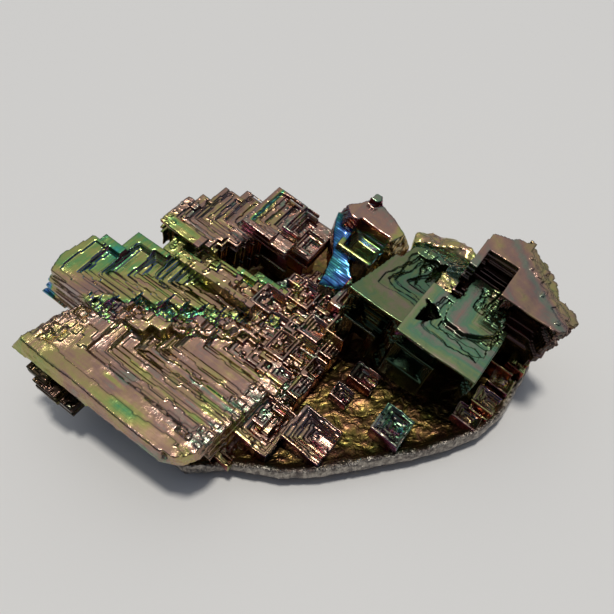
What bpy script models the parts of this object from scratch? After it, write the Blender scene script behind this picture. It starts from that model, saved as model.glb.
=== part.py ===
"""A bismuth specimen: stepped hopper crystals grown together on a shallow slab.

Every crystal is described in its own axes: p and q run along the two arms of its L-shaped steps and
w stands up from the steps. Lengths are worked in millimetres; the finished body is set in metres.
"""

from math import cos, radians, sin

import bmesh
import bpy
from mathutils import Matrix, Vector

MM = 0.001
FAR = 70.0  # a pocket runs this far past its open end
LEAD = 2.0  # a lower slab starts this far under the one before it
COLOUR = (0.47, 0.40, 0.36, 1.0)
ROUGHNESS = 0.28

# Slab: height of the rim, of the floor inside it, and how far each ring is drawn in from the plan.
RIM_TOP = 4.8
FLOOR_TOP = 3.6
FOOT_INSET = 9.0
RIM_WIDTH = 2.6
SLAB_PLAN = [
    (-20.5, -28.5), (-12.0, -28.3), (-3.0, -30.6), (4.5, -30.8), (13.9, -29.6), (23.5, -28.0),
    (29.5, -26.4), (35.8, -24.0), (40.7, -20.0), (45.0, -14.5), (49.0, -8.8), (50.4, -1.0),
    (48.0, 9.0), (42.0, 18.0), (32.0, 25.5), (20.0, 31.0), (6.0, 34.0), (-10.0, 34.0),
    (-24.0, 31.0), (-36.0, 25.0), (-44.0, 15.0), (-46.0, 4.0), (-41.0, -8.0), (-31.0, -20.0),
]


def crystal_axes(heading, fall, rise):
    """Axes of a crystal: p points along the heading and falls, q lies across it and rises (degrees)."""
    h, f, r = radians(heading), radians(fall), radians(rise)
    p = Vector((cos(h) * cos(f), sin(h) * cos(f), -sin(f)))
    q = Vector((-sin(h) * cos(r), cos(h) * cos(r), sin(r)))
    q = (q - p * p.dot(q)).normalized()
    return Matrix((p, q, p.cross(q))).transposed()


FLAT_AXES = crystal_axes(-39.4, 9.2, 3.4)
STEEP_AXES = crystal_axes(-37.6, 15.9, 1.6)
LOW_AXES = crystal_axes(-38.2, 12.7, 1.7)
RIM_AXES = crystal_axes(-30.0, 0.0, 0.0)


class Crystal:
    """Solids and pockets of one crystal, gathered in its own axes and placed about its left corner."""

    def __init__(self, name, corner, axes):
        self.name = name
        self.place = Matrix.Translation(Vector(corner)) @ axes.to_4x4()
        self.solids = []
        self.pockets = []

    def prism(self, plan, w_low, w_high, cut=False, foot=None):
        """A solid over a plan in p and q, or a pocket of that shape; a foot plan flares its lower end."""
        mesh = bpy.data.meshes.new(self.name)
        shape = bmesh.new()
        low = [shape.verts.new((p, q, w_low)) for p, q in foot or plan]
        high = [shape.verts.new((p, q, w_high)) for p, q in plan]
        shape.faces.new(list(reversed(low)))
        shape.faces.new(high)
        for i in range(len(plan)):
            j = (i + 1) % len(plan)
            shape.faces.new((low[i], low[j], high[j], high[i]))
        if foot:
            bmesh.ops.triangulate(shape, faces=shape.faces)
        shape.to_mesh(mesh)
        shape.free()
        item = bpy.data.objects.new(self.name, mesh)
        bpy.context.collection.objects.link(item)
        (self.pockets if cut else self.solids).append(item)

    def box(self, p, q, w, cut=False):
        """A prism over a rectangle; p, q and w are (from, to)."""
        plan = [(p[0], q[0]), (p[1], q[0]), (p[1], q[1]), (p[0], q[1])]
        self.prism(plan, w[0], w[1], cut)

    def stairs(self, steps, rim, bottom):
        """L-shaped steps going down: each row is (p, q, level, far q, end of p) of one step.

        A pocket starts at (p, q), stops against a rim at its far q and stays open at the end of p.
        From the second step on a slab under each pocket carries the crystal outwards.
        """
        above = 0.0
        for p, q, level, far, end in steps:
            if above < 0.0:
                self.box((p - LEAD, end), (q - LEAD, far + rim), (bottom, above))
            self.box((p, FAR), (q, far), (level, FAR), cut=True)
            above = level

    def frames(self, p, w, depths, inset, floor=None):
        """Rectangular pockets, one inside the next, going into the side of the crystal at low q."""
        for i, depth in enumerate(depths):
            side = inset * (i + 1)
            low = w[0] + side * 0.7 if floor is None else floor + side * 0.4
            self.box((p[0] + side, p[1] - side), (-FAR, depth), (low, w[1] - side * 0.8), cut=True)

    def solid(self):
        """One closed body in its place: the solids joined, then the pockets taken out."""
        body = combine(self.solids[0], self.solids[1:], "UNION")
        body = combine(body, self.pockets, "DIFFERENCE")
        body.data.transform(self.place)
        return body


def combine(body, tools, operation):
    """Join the tools to the body, or take them out of it, and drop them."""
    for tool in tools:
        cut = body.modifiers.new("combine", "BOOLEAN")
        cut.object = tool
        cut.operation = operation
        cut.solver = "EXACT"
        graph = bpy.context.evaluated_depsgraph_get()
        mesh = bpy.data.meshes.new_from_object(body.evaluated_get(graph))
        body.modifiers.clear()
        body.data = mesh
        bpy.data.objects.remove(tool)
    return body


def plate_a():
    """The broad plate at the front left, with long arms along its front edge."""
    a = Crystal("plate_a", (-50.0, -8.5, 21.0), FLAT_AXES)
    outline = [
        (0.0, 0.0), (36.0, 0.0), (39.4, 1.2), (41.0, 4.0), (41.2, 20.5), (20.0, 20.5), (18.0, 20.0),
        (9.0, 19.0), (3.8, 14.2), (1.8, 8.2),
    ]
    foot = [
        (-1.9, -1.6), (36.2, -0.6), (40.0, 1.4), (41.4, 4.4), (41.2, 20.5), (20.0, 20.5), (18.0, 20.0),
        (9.0, 19.0), (3.4, 14.2), (0.6, 8.2),
    ]
    a.prism(outline, -5.2, 0.0, foot=foot)
    a.box((1.6, 18.0), (-1.6, 8.0), (-9.5, -4.0))
    a.box((6.0, 14.0), (0.6, 12.0), (-12.0, -4.0))
    steps = [
        (11.0, 5.9, -1.2, 15.1, 41.0), (13.6, 8.4, -2.3, 15.3, 41.0), (16.6, 12.4, -3.5, 17.8, 41.4),
        (19.3, 15.6, -4.6, 20.4, 41.2), (21.2, 18.1, -5.5, 24.0, 40.8), (24.7, 22.4, -6.6, 28.0, 41.6),
        (28.4, 25.2, -7.6, 30.5, 42.4), (32.5, 27.6, -8.6, 33.0, 43.6), (36.4, 29.8, -9.6, 35.0, 45.0),
    ]
    a.stairs(steps, rim=3.4, bottom=-14.0)
    return a.solid()


def plate_b():
    """The green plate behind the first, with short sawtooth arms at both ends."""
    b = Crystal("plate_b", (-45.2, 7.4, 25.0), FLAT_AXES)
    outline = [(0.8, -1.8), (12.1, -2.4), (12.1, 9.6), (0.6, 9.6), (-0.6, 2.1)]
    foot = [(-4.4, -3.1), (10.0, -2.8), (12.1, 9.6), (0.4, 9.6), (-3.0, 1.0)]
    b.prism(outline, -10.5, 0.0, foot=foot)
    b.box((2.0, 14.5), (-1.0, 11.4), (-11.0, -0.4))
    b.box((5.2, 17.0), (2.5, 17.3), (-13.0, -2.0))
    steps = [
        (4.1, 0.7, -1.4, 9.8, 14.5), (7.7, 4.2, -2.7, 14.8, 17.0), (11.5, 7.8, -4.0, 15.4, 21.3),
        (14.6, 11.0, -5.2, 19.2, 24.1), (17.2, 13.2, -6.3, 19.6, 27.1), (19.3, 15.2, -7.3, 22.4, 29.5),
        (21.6, 17.6, -8.3, 23.8, 32.6), (25.6, 20.9, -9.3, 25.8, 36.0), (29.4, 23.0, -10.3, 27.6, 39.0),
    ]
    b.stairs(steps, rim=2.0, bottom=-17.0)
    return b.solid()


def plate_c():
    """The narrow plate at the back left."""
    c = Crystal("plate_c", (-25.5, 20.5, 24.0), STEEP_AXES)
    c.box((0.0, 10.4), (-0.6, 8.2), (-11.0, 0.0))
    c.box((1.8, 12.0), (1.0, 11.5), (-12.0, -0.6))
    c.box((2.6, 13.0), (4.0, 17.6), (-14.0, -1.4))
    steps = [
        (1.8, 2.1, -0.8, 6.4, 11.0), (3.3, 3.8, -1.6, 10.6, 11.4), (4.6, 6.0, -2.5, 16.6, 12.2),
        (6.2, 8.3, -3.5, 17.0, 15.4), (8.1, 10.4, -4.5, 20.2, 16.2), (10.4, 12.4, -5.5, 19.4, 17.0),
        (12.4, 14.2, -6.5, 18.6, 17.8),
    ]
    c.stairs(steps, rim=0.9, bottom=-15.0)
    c.frames((0.0, 10.4), (-11.0, 0.0), (2.2, 4.0), 1.3)
    return c.solid()


def ridge_b():
    """A low crystal filling the corner between the second and third plates."""
    r = Crystal("ridge_b", (-25.5, 15.0, 20.5), FLAT_AXES)
    r.box((0.0, 24.0), (0.0, 7.0), (-15.0, 0.0))
    r.box((2.4, FAR), (2.2, 6.0), (-1.3, FAR), cut=True)
    r.box((9.0, FAR), (3.2, 7.6), (-2.6, FAR), cut=True)
    r.box((16.0, FAR), (1.2, 8.0), (-4.0, FAR), cut=True)
    return r.solid()


def block_d():
    """Two stepped blocks over the hollow at the back."""
    d = Crystal("block_d", (-6.8, 19.0, 22.0), STEEP_AXES)
    d.box((-2.2, 8.6), (-0.3, 12.8), (-3.4, 0.0))
    d.box((3.0, 14.0), (2.6, 13.4), (-6.0, -1.6))
    d.box((-1.0, 9.0), (6.0, 13.0), (-16.0, -1.0))
    d.box((0.6, FAR), (2.4, 11.6), (-0.9, FAR), cut=True)
    d.box((3.4, FAR), (4.4, 11.8), (-2.4, FAR), cut=True)
    d.box((6.2, FAR), (6.2, 12.0), (-3.6, FAR), cut=True)
    return d.solid()


def block_e():
    """The rounded knob at the back and the low rim running right from it."""
    e = Crystal("block_e", (14.4, 17.4, 24.0), STEEP_AXES)
    lump = [(-1.5, 1.0), (0.2, -0.4), (11.6, 0.4), (13.0, 3.0), (11.0, 7.6), (3.6, 8.6), (-1.6, 5.4)]
    e.prism(lump, -9.0, -1.6)
    e.prism([(0.0, 1.2), (10.0, 1.4), (10.6, 5.0), (3.4, 7.6), (-0.4, 5.0)], -2.2, 0.0)
    e.prism([(0.4, 4.6), (2.6, 4.6), (3.8, 6.4), (2.6, 8.4), (0.6, 8.2)], -2.0, 1.4)
    e.box((-0.6, 8.4), (-5.6, 1.0), (-12.0, -3.6))
    e.box((1.4, 7.6), (-3.8, -1.0), (-5.0, FAR), cut=True)
    rim = [(8.0, 2.0), (20.0, 1.0), (29.0, 0.6), (31.0, 3.0), (28.0, 7.6), (12.0, 7.6)]
    e.prism(rim, -13.0, -7.0)
    e.prism([(12.2, 2.4), (26.0, 2.8), (24.0, 6.4), (13.0, 6.2)], -8.0, -5.6)
    return e.solid()


def box_g():
    """The open cube at the front right, hollow towards the front."""
    g = Crystal("box_g", (12.0, -5.5, 27.0), STEEP_AXES)
    top = [
        (0.0, 0.0), (11.9, 0.0), (11.9, 17.8), (9.0, 18.4), (6.4, 18.0), (4.5, 16.8), (3.7, 12.8),
        (2.6, 12.4), (1.9, 8.2), (1.0, 3.7),
    ]
    g.prism(top, -18.0, 0.0)
    g.box((4.4, FAR), (5.4, 15.6), (-0.8, FAR), cut=True)
    g.box((6.0, FAR), (7.2, 16.0), (-1.8, FAR), cut=True)
    g.box((7.8, FAR), (9.2, 16.4), (-2.9, FAR), cut=True)
    g.box((9.6, FAR), (11.8, 16.8), (-4.0, FAR), cut=True)
    g.frames((0.0, 11.9), (-18.0, 0.0), (4.0, 6.8, 9.6), 1.5)
    return g.solid()


def ridge_e():
    """The rounded ridge along the slab's back right rim, between the knob and the far cube."""
    r = Crystal("ridge_e", (28.0, 16.0, 14.0), RIM_AXES)
    crest = [
        (-2.1, 7.1), (1.9, 9.1), (5.2, 9.5), (9.0, 8.7), (12.0, 6.6), (12.2, 4.4), (7.4, 6.0), (2.6, 5.4),
        (-1.4, 4.4),
    ]
    foot = [
        (-3.2, 7.6), (1.6, 9.8), (5.4, 10.0), (9.8, 9.0), (13.0, 6.6), (13.0, 1.5), (7.0, 1.2), (2.0, 0.8),
        (-2.6, 1.4),
    ]
    r.prism(crest, -8.0, 0.0, foot=foot)
    r.prism([(-1.0, 2.4), (12.0, 2.4), (10.0, 7.6), (-1.0, 7.6)], -12.0, -7.0)
    return r.solid()


def box_f():
    """The lower cube in front of it and the thin plate that ties the two together."""
    f = Crystal("box_f", (19.8, -13.9, 24.0), STEEP_AXES)
    f.box((0.0, 16.5), (0.0, 13.6), (-10.0, 0.0))
    f.box((2.0, FAR), (3.0, 12.4), (-0.8, FAR), cut=True)
    f.box((4.2, FAR), (4.8, 12.6), (-1.7, FAR), cut=True)
    f.box((6.4, FAR), (6.8, 12.8), (-2.6, FAR), cut=True)
    f.frames((0.0, 16.5), (-10.0, 0.0), (3.4, 6.2, 8.8), 1.4)
    plate = [(5.0, 9.6), (5.4, 7.6), (11.4, 6.6), (17.0, 12.0), (14.6, 18.0), (11.0, 21.0), (5.4, 20.0)]
    f.prism(plate, -3.0, 0.6)
    f.box((6.0, 15.0), (12.0, 19.0), (-16.0, -1.0))
    return f.solid()


def box_h():
    """The cube at the far right, open at its left corner and underneath its front edge."""
    h = Crystal("box_h", (38.7, -9.0, 27.0), STEEP_AXES)
    top = [
        (0.0, -0.4), (13.4, -0.4), (13.4, 4.6), (14.4, 5.6), (13.0, 7.6), (9.0, 8.4), (7.4, 11.0),
        (4.4, 14.0), (0.0, 15.4), (-3.8, 13.0), (-7.0, 12.2), (-7.5, 2.0), (-6.0, 2.0), (0.0, 2.2),
    ]
    h.prism(top, -12.0, 0.0)
    h.box((-5.9, 0.6), (-FAR, 7.4), (-8.0, FAR), cut=True)
    h.box((-4.9, 1.6), (-FAR, 8.4), (-6.8, -2.0), cut=True)
    h.box((1.2, FAR), (8.6, FAR), (-0.8, FAR), cut=True)
    h.frames((0.4, 13.4), (-12.0, 0.0), (3.6, 6.2), 1.5)
    h.box((-2.0, 8.0), (4.0, 12.0), (-20.0, -9.0))
    return h.solid()


def low_crystals():
    """Small hoppers in the hollow between the big crystals and along the slab's rim."""
    small = [
        # corner, length in p, length in q, height, inset of each pocket
        ((-0.5, 6.5, 13.0), 5.6, 7.0, 8.0, 1.1),
        ((-8.8, -0.4, 12.6), 6.0, 7.0, 8.0, 1.3),
        ((-7.7, 4.6, 14.0), 5.2, 6.0, 9.0, 1.0),
        ((-5.3, -6.0, 11.4), 5.0, 6.2, 7.0, 1.1),
        ((-1.3, -6.8, 10.4), 4.6, 5.8, 6.0, 1.0),
        ((1.5, -1.7, 11.4), 5.4, 5.6, 7.0, 1.2),
        ((5.7, -6.5, 9.6), 5.0, 6.0, 6.0, 1.2),
        ((1.9, -10.9, 9.0), 4.8, 5.2, 5.0, 1.0),
        ((-1.1, -15.1, 8.6), 4.4, 6.6, 5.0, 1.2),
        ((7.4, -2.9, 12.4), 4.6, 5.0, 8.0, 0.9),
        ((2.6, -18.1, 7.6), 4.6, 5.4, 4.0, 1.1),
        ((8.8, 3.4, 14.0), 5.2, 6.4, 10.0, 1.0),
        ((6.0, 12.5, 12.0), 7.0, 6.0, 8.0, 1.3),
        ((-12.0, -22.6, 9.0), 9.0, 10.4, 6.4, 1.5),
        ((-2.0, -24.8, 8.2), 8.6, 8.0, 5.6, 1.4),
        ((-15.6, -26.0, 6.6), 5.0, 6.4, 3.4, 1.1),
        ((14.4, -25.4, 9.4), 7.2, 6.8, 6.0, 1.4),
        ((35.7, -18.8, 7.6), 6.0, 5.2, 4.6, 1.1),
        ((45.0, -13.0, 9.4), 4.4, 5.0, 6.4, 0.9),
        ((36.9, -22.2, 6.6), 6.6, 4.0, 3.0, 0.9),
        ((41.7, -15.2, 7.0), 4.6, 4.8, 4.0, 1.0),
    ]
    made = []
    for i, (corner, long_p, long_q, height, inset) in enumerate(small):
        s = Crystal(f"low_{i}", corner, LOW_AXES)
        s.box((0.0, long_p), (0.0, long_q), (-height, 0.0))
        for k in (1, 2, 3):
            inner = (k * inset, FAR if i % 3 else long_p - k * inset * 0.6)
            s.box(inner, (k * inset, long_q - k * inset * 0.5), (-0.8 * k, FAR), cut=True)
        made.append(s.solid())
    return made


def roots():
    """The stalks under the crystals, which stand in the slab and are set in from the crystals' edges."""
    rows = [
        # corner, axes, and the stalk's p, q and w in that crystal
        ((-50.0, -8.5, 21.0), FLAT_AXES, (13.0, 22.0), (7.0, 16.0), (-18.0, -11.0)),
        ((-45.2, 7.4, 25.0), FLAT_AXES, (6.0, 18.0), (4.0, 16.0), (-22.0, -12.0)),
        ((-45.2, 7.4, 25.0), FLAT_AXES, (18.0, 30.0), (8.0, 21.6), (-20.0, -12.0)),
        ((-25.5, 20.5, 24.0), STEEP_AXES, (2.0, 11.0), (1.0, 8.0), (-21.0, -10.0)),
        ((-6.8, 19.0, 22.0), STEEP_AXES, (0.0, 8.0), (4.0, 10.0), (-20.0, -12.0)),
        ((14.4, 17.4, 24.0), STEEP_AXES, (0.0, 8.0), (0.0, 6.0), (-22.0, -7.0)),
        ((14.4, 17.4, 24.0), STEEP_AXES, (11.0, 20.0), (2.0, 6.0), (-19.0, -11.0)),
        ((14.4, 17.4, 24.0), STEEP_AXES, (19.4, 26.0), (1.8, 5.6), (-17.0, -11.0)),
        ((12.0, -5.5, 27.0), STEEP_AXES, (4.4, 11.0), (9.0, 17.0), (-25.0, -15.0)),
        ((19.8, -13.9, 24.0), STEEP_AXES, (6.0, 13.0), (12.4, 18.0), (-21.0, -13.0)),
        ((38.7, -9.0, 27.0), STEEP_AXES, (-1.0, 7.0), (5.0, 12.0), (-25.0, -17.0)),
    ]
    stalks = []
    for number, (corner, axes, p, q, w) in enumerate(rows):
        stalk = Crystal("stalk_%d" % number, corner, axes)
        stalk.box(p, q, w)
        stalks.append(stalk.solid())
    return stalks


def drawn_in(plan, inset):
    """The plan moved towards its middle by a set distance."""
    middle = sum((Vector(point) for point in plan), Vector((0.0, 0.0))) / len(plan)
    moved = []
    for point in plan:
        arm = Vector(point) - middle
        moved.append(middle + arm * (1.0 - inset / arm.length))
    return moved


def slab():
    """The shallow cast slab: a flat foot, a flared underside, an upright rim and a lower floor."""
    rings = [
        (drawn_in(SLAB_PLAN, FOOT_INSET), 0.0),
        (drawn_in(SLAB_PLAN, 0.6), 1.5),
        (drawn_in(SLAB_PLAN, 0.0), RIM_TOP),
        (drawn_in(SLAB_PLAN, RIM_WIDTH), FLOOR_TOP),
    ]
    mesh = bpy.data.meshes.new("slab")
    shape = bmesh.new()
    loops = []
    for plan, height in rings:
        loops.append([shape.verts.new((x, y, height)) for x, y in plan])
    shape.faces.new(list(reversed(loops[0])))
    shape.faces.new(loops[-1])
    for lower, upper in zip(loops, loops[1:]):
        for i in range(len(lower)):
            j = (i + 1) % len(lower)
            shape.faces.new((lower[i], lower[j], upper[j], upper[i]))
    bmesh.ops.triangulate(shape, faces=shape.faces)
    shape.to_mesh(mesh)
    shape.free()
    item = bpy.data.objects.new("slab", mesh)
    bpy.context.collection.objects.link(item)
    return item


def metal():
    """Bare bismuth under its oxide film."""
    material = bpy.data.materials.new("bismuth")
    material.use_nodes = True
    shader = material.node_tree.nodes["Principled BSDF"]
    shader.inputs["Base Color"].default_value = COLOUR
    shader.inputs["Metallic"].default_value = 1.0
    shader.inputs["Roughness"].default_value = ROUGHNESS
    return material


def settle(body):
    """Stand the body on the ground with its footprint about the origin."""
    corners = [vertex.co for vertex in body.data.vertices]
    low = Vector([min(corner[i] for corner in corners) for i in range(3)])
    high = Vector([max(corner[i] for corner in corners) for i in range(3)])
    middle = (low + high) / 2.0
    body.data.transform(Matrix.Translation((-middle.x, -middle.y, -low.z)))
    return middle


def build():
    """Grow every crystal, join them to the slab and finish the one solid."""
    body = slab()
    crystals = [plate_a(), plate_b(), plate_c(), ridge_b(), block_d(), block_e()]
    crystals += [ridge_e(), box_g(), box_f(), box_h()] + low_crystals() + roots()
    body = combine(body, crystals, "UNION")
    body.name = "bismuth_crystal"
    body.data.name = "bismuth_crystal"
    body.data.materials.clear()
    body.data.materials.append(metal())
    settle(body)
    body.data.transform(Matrix.Scale(MM, 4))


for item in list(bpy.data.objects):
    bpy.data.objects.remove(item)
build()
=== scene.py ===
# %% [markdown]
# # A bismuth hopper crystal
# Bismuth cools from the melt as a hopper crystal: the edges of each cube grow faster than its faces, so
# every face ends as a staircase of L-shaped ledges. The hot metal then takes on a skin of oxide, thin
# enough to colour the light that it reflects. This lesson builds the specimen twice over: the stairs as
# real geometry, and the oxide skin as a shader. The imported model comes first, as the fixed frame.

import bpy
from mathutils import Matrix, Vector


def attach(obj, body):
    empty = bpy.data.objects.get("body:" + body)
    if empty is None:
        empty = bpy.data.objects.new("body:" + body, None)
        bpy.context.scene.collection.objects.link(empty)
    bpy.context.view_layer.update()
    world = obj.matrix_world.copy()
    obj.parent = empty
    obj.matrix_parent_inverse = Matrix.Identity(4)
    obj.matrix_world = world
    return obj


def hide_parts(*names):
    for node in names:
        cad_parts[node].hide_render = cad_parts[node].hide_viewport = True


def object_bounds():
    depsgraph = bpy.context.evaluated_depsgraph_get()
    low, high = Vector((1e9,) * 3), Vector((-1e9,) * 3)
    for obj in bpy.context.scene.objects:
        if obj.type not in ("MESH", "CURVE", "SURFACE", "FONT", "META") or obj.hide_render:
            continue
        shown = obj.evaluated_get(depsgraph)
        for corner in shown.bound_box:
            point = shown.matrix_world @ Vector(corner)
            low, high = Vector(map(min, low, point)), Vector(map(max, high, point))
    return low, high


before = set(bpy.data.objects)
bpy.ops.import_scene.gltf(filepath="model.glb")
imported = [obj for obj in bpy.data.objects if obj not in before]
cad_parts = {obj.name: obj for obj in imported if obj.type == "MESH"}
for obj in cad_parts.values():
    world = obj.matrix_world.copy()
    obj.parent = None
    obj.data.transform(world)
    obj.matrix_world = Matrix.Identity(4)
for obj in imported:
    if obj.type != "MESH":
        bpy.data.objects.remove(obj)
cad_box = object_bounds()
print("frame box, mm:", [[round(1000 * value, 1) for value in corner] for corner in cad_box])

# %% Tools and units
from math import cos, radians, sin

import bpy
import numpy as np
from mathutils import Matrix, Vector

MM = 0.001
NODE = "bismuth_crystal"
SETTLE = Vector((0.18, 2.05, 0.0))  # from the crystals' working origin to the frame's, in millimetres
print("lengths are worked in millimetres and set in metres")

# %% [markdown]
# ## Crystal axes
# Each crystal has its own three axes. p and q run along the two arms of its L-shaped ledges and w stands
# up from them. The big plates lean a little towards the front right, and the cubes lean more.


# %% Axes of the crystals
def crystal_axes(heading, fall, rise):
    """Columns p, q and w: p points along the heading and falls, q lies across it and rises (degrees)."""
    h, f, r = radians(heading), radians(fall), radians(rise)
    p = Vector((cos(h) * cos(f), sin(h) * cos(f), -sin(f)))
    q = Vector((-sin(h) * cos(r), cos(h) * cos(r), sin(r)))
    q = (q - p * p.dot(q)).normalized()
    return Matrix((p, q, p.cross(q))).transposed()


FLAT_AXES = crystal_axes(-39.4, 9.2, 3.4)
STEEP_AXES = crystal_axes(-37.6, 15.9, 1.6)
LOW_AXES = crystal_axes(-38.2, 12.7, 1.7)
RIM_AXES = crystal_axes(-30.0, 0.0, 0.0)
# The corner and the axes of each big crystal.
FRONT_PLATE = ((-50.0, -8.5, 21.0), FLAT_AXES)
GREEN_PLATE = ((-45.2, 7.4, 25.0), FLAT_AXES)
BACK_PLATE = ((-25.5, 20.5, 24.0), STEEP_AXES)
BACK_BLOCK = ((-6.8, 19.0, 22.0), STEEP_AXES)
KNOB = ((14.4, 17.4, 24.0), STEEP_AXES)
LEFT_CUBE = ((12.0, -5.5, 27.0), STEEP_AXES)
FRONT_CUBE = ((19.8, -13.9, 24.0), STEEP_AXES)
RIGHT_CUBE = ((38.7, -9.0, 27.0), STEEP_AXES)
print("the steep axes fall", round(-1000 * STEEP_AXES.col[0].z), "mm in a metre along p")

# %% [markdown]
# ## Growing a crystal out of blocks
# A hopper crystal could be cut from boxes with booleans, but its real ledges are a quarter of a
# millimetre high, they jog sideways every few millimetres, and crumbs sit on them. A grid of small blocks
# in the crystal's own axes takes all of that: a block is there or it isn't. The lines of the grid are
# spaced a little unevenly, and each line runs right through the crystal, as its growth planes do.

# %% Smooth noise in space
FAR = 70.0  # a pocket runs this far past its open end
LEAD = 2.0  # a lower slab starts this far under the one before it
LEDGES = (0.30, 0.55, 0.75, 0.9, 1.0)  # how a step's drop is shared out over its fine ledges
CLOSE_LEDGES = (0.16, 0.32, 0.48, 0.62, 0.76, 0.88, 1.0)
FINE_DEPTH = 4.5  # below this depth the blocks are taller
COARSER = 3
NOISE_CELLS = 32  # soft noise repeats after this many features
LOWEST = 0.1  # the crystals keep this far inside the frame's box, floor and top


def soft_noise(points, size, seed):
    """Smooth noise between -1 and 1 at each point, with features of about that size."""
    table = np.random.default_rng(seed).uniform(-1.0, 1.0, (NOISE_CELLS,) * 3)
    at = np.asarray(points, float) / size
    cell = np.floor(at).astype(int)
    part = at - cell
    part = part * part * (3.0 - 2.0 * part)
    total = np.zeros(len(at))
    for corner in np.ndindex(2, 2, 2):
        share = np.prod([part[:, i] if corner[i] else 1.0 - part[:, i] for i in range(3)], axis=0)
        i, j, k = ((cell + corner) % NOISE_CELLS).T
        total += share * table[i, j, k]
    return total


def inside(outline, p, q):
    """True where the points (p, q) lie inside the closed outline."""
    hit = np.zeros(p.shape, bool)
    for (p1, q1), (p2, q2) in zip(outline, outline[1:] + outline[:1]):
        if q1 != q2:
            crosses = (q1 > q) != (q2 > q)
            hit ^= crosses & (p < p1 + (p2 - p1) * (q - q1) / (q2 - q1))
    return hit


def reach(full, seeds):
    """The blocks joined to the seeds, found by sweeps along the three axes both ways."""
    found = seeds & full
    count = 0
    while found.sum() != count:
        count = found.sum()
        for axis in range(3):
            for way in (1, -1):
                f = np.moveaxis(full, axis, 0)[::way]
                s = np.moveaxis(found, axis, 0)[::way]
                index = np.arange(1, len(f) + 1)[:, None, None]
                gap = np.maximum.accumulate(np.where(f, 0, index), axis=0)
                seen = np.maximum.accumulate(np.where(s, index, 0), axis=0)
                s |= f & (seen > gap)
    return found


print("noise and outline helpers are ready")


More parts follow.
